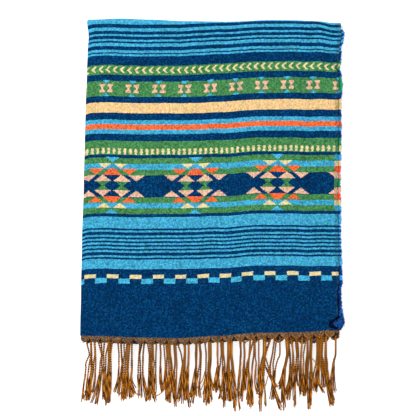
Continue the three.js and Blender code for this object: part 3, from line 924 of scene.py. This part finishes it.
# (where it leaves the header, at 10, 20, 30 and 40 steps down, where it ends, how far down)
COURSES = [
    (6.5, 8.8, 4.8, 4.5, 2.5, 1.5, 56), (11, 10.5, 10, 10.5, 8, 4.5, 55),
    (10.5, 10.5, 8.5, 7, 6.5, 6.5, 55), (14, 15, 14.8, 14.2, 13.5, 12, 48),
    (14.3, 14.3, 12.5, 11, 9.5, 8.5, 55), (18.3, 21, 19.5, 18.8, 17.5, 11, 58),
    (21, 21.5, 21, 21, 19, 15, 59), (24.5, 23, 23, 22.5, 22.5, 23, 54),
    (29, 25.5, 25, 24.5, 24, 24, 54), (28.7, 28, 27.5, 26.5, 26.5, 25.5, 60),
    (30, 29.2, 28.3, 28, 28.5, 27.5, 58), (32.3, 30.4, 30.3, 30.5, 30, 28.5, 58),
    (38, 38.6, 38.2, 37.6, 37, 33.8, 47.5), (40.8, 41, 41.4, 40.5, 38.8, 37.5, 49),
    (43.8, 44, 42.7, 42.5, 41.5, 41.3, 56), (47, 45.4, 44.5, 44, 43.5, 44, 55),
    (48.5, 47.1, 46.3, 46, 46, 45.5, 54), (50, 48.7, 47.8, 47.6, 48, 49.5, 54),
    (49, 48, 47, 46.8, 49.5, 51.5, 52), (52, 51.6, 51, 51.2, 50.5, 54.5, 49.5),
    (60, 58.8, 58, 57.2, 58, 58, 53), (62, 59.4, 59.8, 59.5, 60.3, 60, 53),
    (64, 62.8, 62.3, 62.1, 63.2, 66.4, 56), (67.5, 69, 68.7, 68.2, 68.3, 66.5, 56),
    (69.7, 70.3, 70, 69.8, 70.3, 69, 56), (71.6, 71.8, 71.5, 71.3, 71.2, 74.6, 57.5),
    (73, 73.3, 73.7, 73, 72.3, 73.8, 53), (76.4, 75.8, 75.3, 75.3, 74.8, 74, 53),
    (80, 80.5, 80, 79.8, 80, 82, 47.5), (83.7, 84.4, 85, 84.9, 84.2, 83, 46),
    (86, 86.8, 86.5, 86.4, 86, 86.3, 56), (87.5, 88, 88.5, 88.4, 88.2, 88.3, 57.5),
    (89, 89, 90.5, 90.5, 90.5, 89.5, 57.5), (90, 90.3, 91.5, 92.5, 92.3, 92, 49.5),
    (93.8, 94.4, 95, 93.7, 93.5, 94.5, 60), (95.7, 96.2, 96.7, 96.4, 95.6, 95.8, 61.5),
    (97.7, 101.2, 102.3, 100.8, 98.8, 98, 57), (104, 104.8, 104.5, 103, 101.5, 99.5, 54),
    (104.6, 104.3, 103.4, 102, 101.8, 102.5, 58.5), (105.5, 105.3, 105, 104.6, 104.2, 104.5, 55),
    (108.4, 108.3, 108, 106.5, 105.5, 106, 55.5), (108.9, 109, 108.6, 107.8, 107.4, 109.6, 63),
    (116, 115.4, 115.7, 115, 112.5, 110.3, 52), (116.5, 116.6, 116.5, 116.2, 115.6, 111.7, 58),
    (119, 120.2, 119.8, 117.8, 116, 116.3, 51.5), (119.7, 121.2, 120.9, 120.4, 119, 119.5, 52.5),
    (125, 126, 126, 125.8, 126, 124.3, 57), (129.5, 129.5, 128.3, 127.8, 127.5, 127.3, 60.5),
    (128.8, 128.8, 128.9, 128.6, 129.2, 131.5, 57), (131, 130.8, 129.8, 129.4, 129, 129.2, 59.5),
    (130.3, 130.2, 129.6, 129.8, 131.7, 134, 45), (137.4, 137.5, 137.7, 137, 135, 133.8, 45.5),
    (137.8, 137.9, 138, 137.6, 139, 141.6, 54), (140.8, 141.3, 140.4, 138.9, 138, 136.8, 47),
    (141.8, 142.8, 142.6, 144, 142.7, 139.5, 53.5), (142.7, 143.8, 144.9, 145, 144.8, 144, 63),
    (148, 148, 147.5, 146.5, 146.5, 145, 57), (148.9, 148.9, 148.2, 147.3, 147, 147.5, 47),
    (149.4, 149.4, 149, 149.4, 149.8, 148, 55.5), (150, 149.9, 149.3, 150.2, 151.7, 150.7, 56),
    (151.1, 151, 151.8, 152.7, 152, 152, 55.5), (151.7, 151.6, 152.9, 154.4, 155, 154.5, 66),
    (152.1, 152, 152.6, 153.9, 155.2, 155.7, 61.5), (159.8, 161.1, 160.4, 159.2, 157.6, 160, 65.5),
    (160.6, 161.3, 160.6, 159.8, 159.4, 158.6, 45), (163.7, 164.5, 164, 163.1, 162, 159.3, 52),
    (164.3, 165.1, 164.8, 164.8, 164, 161.6, 56), (170.2, 169.8, 168.7, 168.8, 169.6, 168, 60),
    (170.6, 170.2, 167.2, 167.3, 169.4, 171, 63.5), (174, 170, 167.9, 166.5, 165.3, 165.3, 46),
    (174.3, 174.1, 173.2, 171.9, 171.9, 173, 60), (175, 175.5, 176.5, 176, 175.2, 177.5, 48.8),
    (178.8, 179, 179.3, 178.5, 178.6, 178, 48.5), (184.3, 184.1, 182, 180.2, 179.6, 179.5, 42),
    (184.9, 184.9, 183.4, 182.2, 181.6, 180.4, 66.5), (185.8, 186, 183.8, 183.3, 185, 185.7, 61.5),
    (191, 186, 184.9, 184.4, 184, 179.8, 59), (185, 184.8, 188, 190.8, 193.3, 202, 65),
    (185.4, 184.9, 185.2, 188.8, 194.8, 197.3, 42), (194.8, 192.6, 191.2, 190.5, 192.5, 200.3, 63.5),
    (196.6, 195, 193.6, 194, 193.4, 191.2, 54.5), (200, 200.3, 197, 195.2, 194.6, 194.5, 54.5),
    (206.4, 207.6, 206.4, 203.4, 201.2, 200, 44), (207.4, 208.7, 207, 204.5, 203.2, 203, 57),
    (207, 208.3, 206.7, 205, 204.8, 205.1, 65), (208.5, 210.6, 211.4, 211.9, 209.8, 206.8, 54),
    (210.8, 213.8, 214.8, 214.3, 212, 212.4, 44.5), (212.6, 213.4, 213.4, 212.9, 211.3, 209.5, 55),
    (216.2, 217.9, 216.8, 215.5, 215.2, 215.8, 62.5), (217.6, 219, 218.8, 217, 218, 219.5, 41),
    (222.2, 221.5, 220.8, 219.8, 221, 221.5, 51.5), (222.6, 221.9, 221.8, 222.2, 221.8, 221.4, 48),
    (226.4, 224, 224.4, 224, 224.3, 223.5, 48), (227.5, 227.6, 226.6, 226.5, 226, 225.3, 51),
    (228, 228.6, 228.2, 227.8, 228.5, 229.8, 64.5), (230.4, 230.1, 229.2, 229, 227.8, 224.8, 51),
    (231.6, 231.3, 231.6, 231.2, 230.7, 230.8, 58), (232.3, 232, 232.4, 232.9, 232.5, 230.7, 63),
    (237, 237.4, 236.8, 234.5, 232.9, 232.8, 46), (238, 238.4, 238.6, 236.4, 236, 235.5, 46.5),
    (239.2, 239.9, 240.3, 239.3, 237.7, 237, 47.5), (241, 240.9, 241.8, 239.2, 239.8, 244.6, 47.5),
    (242.3, 241.3, 243.4, 243.4, 241.8, 243.8, 42), (243.3, 242.8, 244.9, 245.4, 245.2, 245.7, 42.5),
    (245.6, 245.5, 246.2, 246.8, 248.5, 251.4, 61.5), (246.6, 246.3, 247.2, 247.6, 249.6, 253, 61),
    (246.2, 246.9, 248.3, 248.2, 250.1, 254.8, 60.5), (255.6, 256, 253.9, 252.3, 252.6, 253.5, 47),
    (256, 256.5, 255, 255.2, 254.5, 256.2, 47.5)]
# single strands that stray across the bunches, each as points of (steps across, steps down)
STRAYS = [((46.5, 38), (42, 46), (37.6, 53)),
          ((87, 38), (85.5, 43), (82.5, 47.5), (78.5, 51), (75, 52.6)),
          ((125, 27), (123.3, 34), (120.5, 39.5), (116.5, 45), (110.8, 52)),
          ((125.2, 33), (123, 41), (120.8, 46.5)), ((231.6, 13), (235, 17), (237.5, 20), (241, 24)),
          ((51.5, 42), (54, 49), (57, 50.4), (60, 50.6)), ((176, 46), (177.5, 48.8), (179.6, 47.3)),
          ((64.3, 44), (65.6, 52), (67.7, 56), (69.7, 53), (70.3, 45)),
          ((66, 48), (67.8, 53.6), (69.2, 49)), ((188.5, 32), (187, 38), (186, 42))]
# one dark yarn across the header at the left, and loops that stand up at the lower right
DARK_YARN = ((62.6, -3), (61.2, 2), (60.3, 5), (58.6, 9.5))
LOOPS = (((245.2, -13), (247.2, -15), (249.2, -13.6), (248.4, -11.4), (246.6, -10.2)),
         ((250.5, -11.6), (252.6, -13.8), (254, -11.6), (252.2, -9.4)),
         ((256.6, -12.4), (258, -14.2), (259.4, -12), (258.2, -9.6)))
print(len(COURSES), "cords and", len(STRAYS), "strays, the longest",
      round(max(c[6] for c in COURSES) * STEP), "mm below the header")

# %% [markdown]
# ## Cords, strands and arms
# A cord is laid in two parts: the twisted length, and three or four loose strands below its fray,
# which spread a little and end at slightly different heights. The arms are the two yarns that
# run along a tooth. All of one end of the scarf is laid in one bundle, so it becomes one mesh.

# %% Lay the fringe
CORD, STRAND, ARM = 1.34, 0.88, 0.95  # radii
UNDER_HEADER = 7.6  # a cord starts this far below the header line, hidden by its tooth
CORD_STEP, STRAND_STEP = 0.95, 3.6  # length between two rings of a cord and of a strand
# painted highlight and shade: neighbouring strands take light and dark tones by turns
STRAND_LIGHT_AND_SHADE = (0.6, 1.3, 0.78, 1.4)
# painted shade on the flanks of cords and strands, where they lie against each other
FLANK_SHADE = 0.04
LAYER = 0.85  # cords lie in three layers, this far apart


def fringe_point(across, down, heights, layer):
    """A point of the fringe in mm. Cords leave the header high and come to rest lower down."""
    x, y = (across - MIDDLE_STEP) * STEP, FRINGE_TOP - down * STEP
    start, rest = heights
    start += relief(x, HEADER_LINE) * 0.8
    return x, y, start + (rest + layer - start) * soft_step((down + 3) / 27)


def lay_strands(bundle, across_at, fray, end, low, tone):
    """The loose strands of a cord, from just above its fray to its end."""
    count = rng.integers(3, 5)
    for n in range(count):
        aside = (n / (count - 1) - 0.5) * 2
        height = max(0.7, low + rng.uniform(-0.7, 0.8)) + 0.2
        points = []
        for down, spread in ((fray - 5, 0.2), (0.5 * (fray + end), 0.7), (end, 1.05)):
            # only the tip's height varies, and the second strand's doesn't
            down = down + (down == end) * (rng.uniform(-3.0, 0.8) * (n != 1) + 1.9)
            across = across_at(down) + aside * spread + rng.normal(0, 0.3)
            points.append(((across - MIDDLE_STEP) * STEP, FRINGE_TOP - down * STEP, height))
        strand = spline(points, STRAND_STEP)
        radius = STRAND * np.interp(np.arange(len(strand)), [0, 1, len(strand) - 1], [0.7, 1, 0.85])
        bundle.add(strand, radius, sides=5, turn=36.0, phase=rng.uniform(0, 6), edge=FLANK_SHADE,
                   tone=tone * STRAND_LIGHT_AND_SHADE[n] * rng.uniform(0.85, 1.15))


def lay_cord(bundle, course, heights, layer, tone):
    """One cord, twisted down to its fray and loose from there to its end."""
    leave, *falls, end_x, end = course
    edge = HEADER_LINE + eased(BOTTOM_OUTLINE, (leave - MIDDLE_STEP) * STEP)
    head = (edge - UNDER_HEADER - FRINGE_TOP) / -STEP
    fray = rng.uniform(28, 36) - (end < 50) * 5  # a short cord frays higher up

    def across_at(down):
        return np.interp(down, [head, 10, 20, 30, 40, end], [leave, *falls, end_x])

    line = spline([fringe_point(across_at(down) + rng.normal(0, 0.06), down, heights, layer)
                   for down in (head, min(head + 4, 3), 10, 15, 20, 25, fray)], CORD_STEP)
    radius = CORD * np.interp(np.arange(len(line)), [0, 2, len(line) - 6, len(line) - 1],
                              [0.8, 1, 1, 0.6])
    bundle.add(line, radius, ply=0.5, turn=6.6, phase=rng.uniform(0, 6.28), tone=tone * 0.76,
               edge=FLANK_SHADE)
    lay_strands(bundle, across_at, fray, end, heights[1] + layer, tone)


def lay_arms(bundle, teeth, height, drop, reach, tone):
    """The two yarns that run down the edges of each tooth and meet below it."""
    for t in teeth:
        top = HEADER_LINE + eased(BOTTOM_OUTLINE, t) - drop
        high = height + relief(t, HEADER_LINE)
        for side in (-1, 1):
            if t * side > 170:  # the arm would lie outside the scarf
                continue
            wide = reach * rng.uniform(0.85, 1.08)
            line = spline([(t + 6.2 * side, top + 6.6 * wide, high - 0.5),
                           (t + 5.0 * side, top + 3.6 * wide, high),
                           (t + 2.2 * side, top + 1.2, high + 0.1),
                           (t - 1.6 * side, top - 0.8, high - 0.6 - 0.5 * side)], CORD_STEP)
            shade = np.interp(t, [-60, 40], [0.62, 1.08])  # darker towards the left
            bundle.add(line, ARM, ply=0.45, turn=5.0, phase=rng.uniform(0, 6.28),
                       tone=tone * rng.uniform(0.65, 0.95) * shade)


def lay_fringe(courses, strays, heights, tone):
    """All the cords of one end of the scarf, gathered before a mesh is made of them."""
    bundle = Bundle()
    for n, course in enumerate(courses):
        lay_cord(bundle, course, heights, (n % 3 - 1) * LAYER, tone * rng.uniform(0.7, 1.2))
    for stray in strays:
        line = spline([fringe_point(x, down, heights, 1.2) for x, down in stray], 1.2)
        bundle.add(line, 0.85, sides=6, ply=0.3, turn=7.0, tone=tone * rng.uniform(1.0, 1.3))
    return bundle


# %% Front fringe
REST = 6.1  # height at which the front cords come to rest on those of the rear end
front = lay_fringe(COURSES, STRAYS, (STACK - 2.4, REST), 1.0)
lay_arms(front, TEETH, STACK + 0.1, drop=8.6, reach=1.0, tone=1.0)
dark_line = spline([fringe_point(x, down, (STACK - 1.6, REST), 1.0) for x, down in DARK_YARN],
                   CORD_STEP)
front.add(dark_line, 1.15, ply=0.4, turn=5.0, tone=0.1)
for loop in LOOPS:
    line = spline([fringe_point(x, down, (STACK + 0.3, REST), 0) for x, down in loop], 0.8)
    front.add(line, 0.62, sides=6, ply=0.3, turn=4.0, tone=rng.uniform(0.8, 1.1))
fringe_front = front.make("fringe_front")

# %% [markdown]
# ## The fringe of the other end
# It lies under the front fringe, where only bits of it show between the cords. So every third
# course is laid again, a little shifted and shorter, and low enough to lie on the table.

# %% Rear fringe
rear_courses = [(*[x + rng.normal(0, 0.3) for x in course[:6]], course[6] - 5)
                for course in COURSES[1::3]]
# painted shade: the rear cords are darkened to 0.86 and their arms to 0.85, for lying under the
# front fringe
rear = lay_fringe(rear_courses, [], (STACK - leaf_depth(3) - 1.6, 2.2), 0.86)
lay_arms(rear, [t + 7 for t in TEETH if t > 30], STACK - leaf_depth(2) - 0.2, drop=12.6,
         reach=0.75, tone=0.85)
fringe_rear = rear.make("fringe_rear")

# %% [markdown]
# ## The curled corner
# At the lower right the second leaf's cut corner has curled up over the edge of the front leaf,
# and its nap stands out. It is a short flattened roll of cloth: a section that climbs from the
# leaf, turns over and tucks in, carried along the edge and drawn in at both ends.

# %% Roll the corner
# section of the roll as (x, height): it climbs from the leaf, turns over and tucks in
ROLL = [(174.8, 14.9), (177.4, 15.5), (178.0, 16.8), (176.4, 18.0), (173.4, 18.3), (170.2, 18.6),
        (167.2, 18.3), (165.6, 17.2), (166.6, 16.3), (168.6, 16.3)]
ROLL_X, ROLL_FOOT = 176.2, 14.9  # the line that stays put as the roll is drawn in, and its foot
section = spline([(x, z, 0) for x, z in ROLL], 0.9)
along = spaced(-8.5, 22, 0.7)[:, None]
full = (0.2 + 0.8 * np.exp(-((along - 1.2) / 5.0) ** 4)) * np.clip((24 - along) / 6, 0.1, 1)
lump = 1 + 0.13 * np.sin(along * 0.95) + 0.10 * np.sin(along * 2.1 + 1) + 0.06 * np.sin(along * 3.7)
middle = ROLL_X - 1.9 * soft_step((along - 9) / 12) - 2.4 * soft_step((-3 - along) / 5)
roll_x = middle + (section[:, 0] - ROLL_X) * full * lump + 0.5 * np.sin(along * 0.35)
roll_z = ROLL_FOOT + (section[:, 1] - ROLL_FOOT) * (0.35 + 0.65 * full) * (0.9 + 0.1 * lump)
roll_y = CURL_Y + along + 0 * roll_x
curl_points = np.stack(place(roll_x, roll_y, roll_z), axis=2)
curl_u = UNDER - 172 - lengths_along(section) * 0.2 + 0 * roll_y
curl_uv = np.stack([curl_u, roll_y - HEADER_LINE + 2], axis=2)
curl = lay_sheet("corner_curl", curl_points, curl_uv, thickness=1.3)

# %% [markdown]
# ## Fuzz
# The selvedge is cut, so the ends of its yarns stand out as fuzz, most of all round the curled
# corner. Every hair is a three-sided taper of a few faces. They are thrown along the edges by a
# seeded generator, so the script makes the same hairs every time.

# %% Grow the fuzz
HAIR = np.array([0.14, 0.11, 0.03])  # radius at the root, the middle and the tip
HAIR_PITCH, CORNER_HAIRS = 0.22, 2400
fuzz = Bundle()


def hair(root, heading, length, rise):
    """One short hair from a root point in mm."""
    direction = np.array([math.cos(heading), math.sin(heading), rise])
    bend = np.array([rng.normal(0, 0.25), rng.normal(0, 0.3), rng.normal(0, 0.2)]) * length
    line = np.array([root, root + direction * length * 0.55 + bend * 0.3,
                     root + direction * length + bend])
    fuzz.add(line, HAIR, sides=3, turn=60.0, tone=rng.uniform(0.25, 1.5), edge=1.0)


for y in np.arange(HEADER_LINE + 0.5, TOP_TURN_Y + 4, HAIR_PITCH):
    edge_x = SELVEDGE[2] + ragged(y, **SECOND_TEETH) - 0.3
    root = np.array(place(edge_x, y, STACK - leaf_depth(2) + rng.uniform(-0.7, 0.9)))
    hair(root, rng.normal(0, 0.7), rng.uniform(0.6, 2.1), rng.normal(0.2, 0.4))
for _ in range(CORNER_HAIRS):
    n, m = rng.integers(2, len(along) - 2), rng.integers(1, len(section) - 2)
    root = curl_points[n, m] + [0, 0, 0.5]
    hair(root, rng.uniform(-2.6, 2.6), rng.uniform(0.8, 2.4), rng.uniform(0.1, 0.9))
edge_fuzz = fuzz.make("edge_fuzz")

# %% [markdown]
# ## Finishes of the yarn
# The fringe is one golden brown. Its twist shows because the groove between the two yarns is
# darkened with painted shade and the crowns of the yarns get a painted highlight, and fine fibres
# run along it. The header is tan with specks of navy and gold, and the fuzz takes the blues of the
# cut edge.


# %% Yarn, header and fuzz finishes
def spun(name, dark, middle, light):
    """Twisted yarn, with painted shade in its groove, a painted highlight on its crowns, and streaks
    along its fibres.
    """
    f = Finish(name, Sheen_Weight=0.02, Sheen_Roughness=0.45, Specular_IOR_Level=0.1)
    uv = f.node("ShaderNodeUVMap", dict(uv_map="Yarn"))
    across = f.node("ShaderNodeSeparateXYZ", None, uv)
    length = Number(f, across.socket.node.outputs["Y"])
    tone = f.node("ShaderNodeAttribute", dict(attribute_name="tone"), out="Fac")
    groove = abs((across * (2 * math.pi)).sine())
    fibre_at = f.node("ShaderNodeCombineXYZ", None, across * 9, length * 300, 0.0)
    fibre = f.noise(1.0, 3.0, 0.6, of=fibre_at)
    patch = f.noise(60, 2.0)
    # painted highlight on the crowns of the two yarns, with fibre streaks and patches on top
    highlight_and_streak_share = (1.0 - groove * groove) * 0.75 + (fibre - 0.5) * 1.3 + (patch - 0.5) * 0.9
    colour = f.mix(highlight_and_streak_share.at_least(0).at_most(1), dye(middle), dye(light))
    # painted shade in the groove between the two yarns
    colour = f.mix(((groove - 0.42) * 2.2).at_least(0).at_most(0.9), colour, dye(dark))
    # tone holds each yarn's own tone with its painted flank shade and crown highlight
    colour = f.shade(colour, tone * (0.8 + fibre * 0.4))
    return f.finish(Base_Color=colour, Roughness=0.72 + fibre * 0.2,
                    Normal=f.bump(fibre + highlight_and_streak_share * 0.6, 0.0003, 0.6))


def speckled(name, ground, *specks):
    """The last rows of cloth, speckled by the warp that comes to the face. Each speck is a dye
    and the chance value above which it is seen."""
    f = Finish(name, Sheen_Weight=0.05, Specular_IOR_Level=0.15)
    u, v = f.cloth_place()
    row, column = (v / 1.1).floor(), ((u + v * 0.4) / 0.95).floor()
    cell = f.node("ShaderNodeCombineXYZ", None, column, row, 0.0)
    chance = f.node("ShaderNodeTexWhiteNoise", dict(noise_dimensions="2D"), Vector=cell)
    grain = f.noise(700, 2.0, 0.6)
    colour = dye(ground)
    for code, above in specks:
        colour = f.mix(chance > above, colour, dye(code))
    colour = f.shade(colour, 0.82 + (grain - 0.5) * 1.2 + (u * 3.3).sine() * 0.06)
    return f.finish(Base_Color=colour, Roughness=0.85 + grain * 0.1,
                    Normal=f.bump(chance + grain, 0.0004, 0.8))


def fuzzy(name, dark, light, scale, contrast, hairs=True):
    """Loose hairs of the cut edge, or a nap that stands up in tufts."""
    f = Finish(name, Sheen_Weight=0.1, Specular_IOR_Level=0.1)
    patch = f.noise(scale, 2.0)
    colour = f.mix(((patch - 0.5) * contrast + 0.45).at_least(0).at_most(1), dye(dark), dye(light))
    links = dict(Roughness=0.85 + patch * 0.1)
    if hairs:
        # tone holds each hair's own tone with its painted flank shade and crown highlight
        tone = f.node("ShaderNodeAttribute", dict(attribute_name="tone"), out="Fac")
        return f.finish(Base_Color=f.shade(colour, tone), **links)
    return f.finish(Base_Color=colour, Normal=f.bump(patch, 0.0008, 0.8), **links)


# 2c1200 is the painted shade of the groove, #f79f33 the painted highlight and pale streaks
yarn_finish = spun("fringe_yarn", "#2c1200", "#b4650a", "#f79f33")
tan_header = speckled("header_yarn", "#665140",
                      ("#957760", 0.62), ("#2b2730", 0.80), ("#b07a34", 0.93))
# painted shade: the lower headers' yarn is navy and darkened further with painted shade
dark_header = speckled("header_yarn_shaded", "#0c1c33",
                       ("#1b2c44", 0.62), ("#3a2f2a", 0.80), ("#9a7434", 0.9))
fuzz_finish = fuzzy("edge_fuzz", "#04205c", "#1f84e0", 260, 4.5)
nap_finish = fuzzy("curled_nap", "#020b34", "#1468c0", 460, 8, hairs=False)
for piece, finish in ((header_front, tan_header), (header_front_under, dark_header),
                      (header_rear, tan_header), (header_rear_under, dark_header),
                      (fringe_front, yarn_finish), (fringe_rear, yarn_finish),
                      (edge_fuzz, fuzz_finish), (curl, nap_finish)):
    piece.data.materials.append(finish)
print("finishes:", [m.name for m in bpy.data.materials if m.users])

# %% [markdown]
# ## Floor, light and camera
# A pale floor, a bright even sky and one large soft lamp give a plain studio picture. The
# camera looks straight down at the middle of the scarf.

# %% Floor
deselect()
bpy.ops.mesh.primitive_plane_add(size=60)
floor = bpy.context.object
floor.name = "floor"
bpy.ops.object.mode_set(mode="EDIT")
bpy.ops.mesh.subdivide(number_cuts=3)
bpy.ops.object.mode_set(mode="OBJECT")
floor.location.z = -0.0004  # just clear of the cloth
paper = Finish("studio_paper", Roughness=0.9, Emission_Color=(1, 1, 1, 1), Emission_Strength=0.78)
paper.finish(Base_Color=(0.5, 0.5, 0.5, 1))
# seen from below the paper is clear, so the underside of the scarf can be looked at
from_below = paper.node("ShaderNodeNewGeometry", None, out="Backfacing")
clear = paper.node("ShaderNodeBsdfTransparent", None)
solid = Number(paper, paper.shader.outputs[0])
sides = paper.node("ShaderNodeMixShader", None, from_below, solid, clear)
paper.tree.links.new(sides.socket, paper.tree.nodes["Material Output"].inputs["Surface"])
floor.data.materials.append(paper.material)
floor.visible_shadow = False
floor.select_set(False)
print("floor", [round(side, 1) for side in floor.dimensions[:2]], "m")

# %% Light and camera
SKY_STRENGTH, LAMP_SIZE, LAMP_ENERGY = 0.85, 1.4, 26
CAMERA_AT = (-0.0054, 0.0081, 1.333 + 0.017)
world = bpy.data.worlds.new("studio")
bpy.context.scene.world = world
world.use_nodes = True
sky = world.node_tree.nodes["Background"].inputs
sky["Color"].default_value, sky["Strength"].default_value = (1, 1, 1, 1), SKY_STRENGTH
bpy.ops.object.light_add(type="AREA", location=(-0.9, 0.9, 1.6))
lamp = bpy.context.object
lamp.name = "softbox"
lamp.data.size, lamp.data.energy = LAMP_SIZE, LAMP_ENERGY
lamp.rotation_euler = (math.radians(-35), math.radians(-29), 0)

bpy.ops.object.camera_add(location=CAMERA_AT)
camera = bpy.context.object
camera.data.lens, camera.data.sensor_width = 85, 36
bpy.context.scene.camera = camera
bpy.context.scene.view_settings.view_transform = "Standard"
print("camera", [round(v, 3) for v in camera.location])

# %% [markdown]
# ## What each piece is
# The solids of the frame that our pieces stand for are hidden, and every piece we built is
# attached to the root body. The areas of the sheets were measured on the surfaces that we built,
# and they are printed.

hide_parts("front_leaf", "left_fold_upper", "left_fold_lower", "top_fold",
            "mid_fold", "back_leaf")
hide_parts("second_leaf_selvedge")
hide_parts("hidden_leaves")
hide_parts("corner_curl")
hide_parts("header_front")
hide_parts("header_rear")
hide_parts("fringe_front")
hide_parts("fringe_rear")
for piece in (outer_cloth, second_leaf, third_leaf, fourth_leaf, inner_turn, curl, edge_fuzz):
    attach(piece, "root")
for piece in HEADERS:
    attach(piece, "root")
for piece in (fringe_front, fringe_rear):
    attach(piece, "root")

print("sheets measured:", [round(1e4 * area) for area in (outer_area, second_area, third_area,
                                                         fourth_area, inner_area)], "cm2")
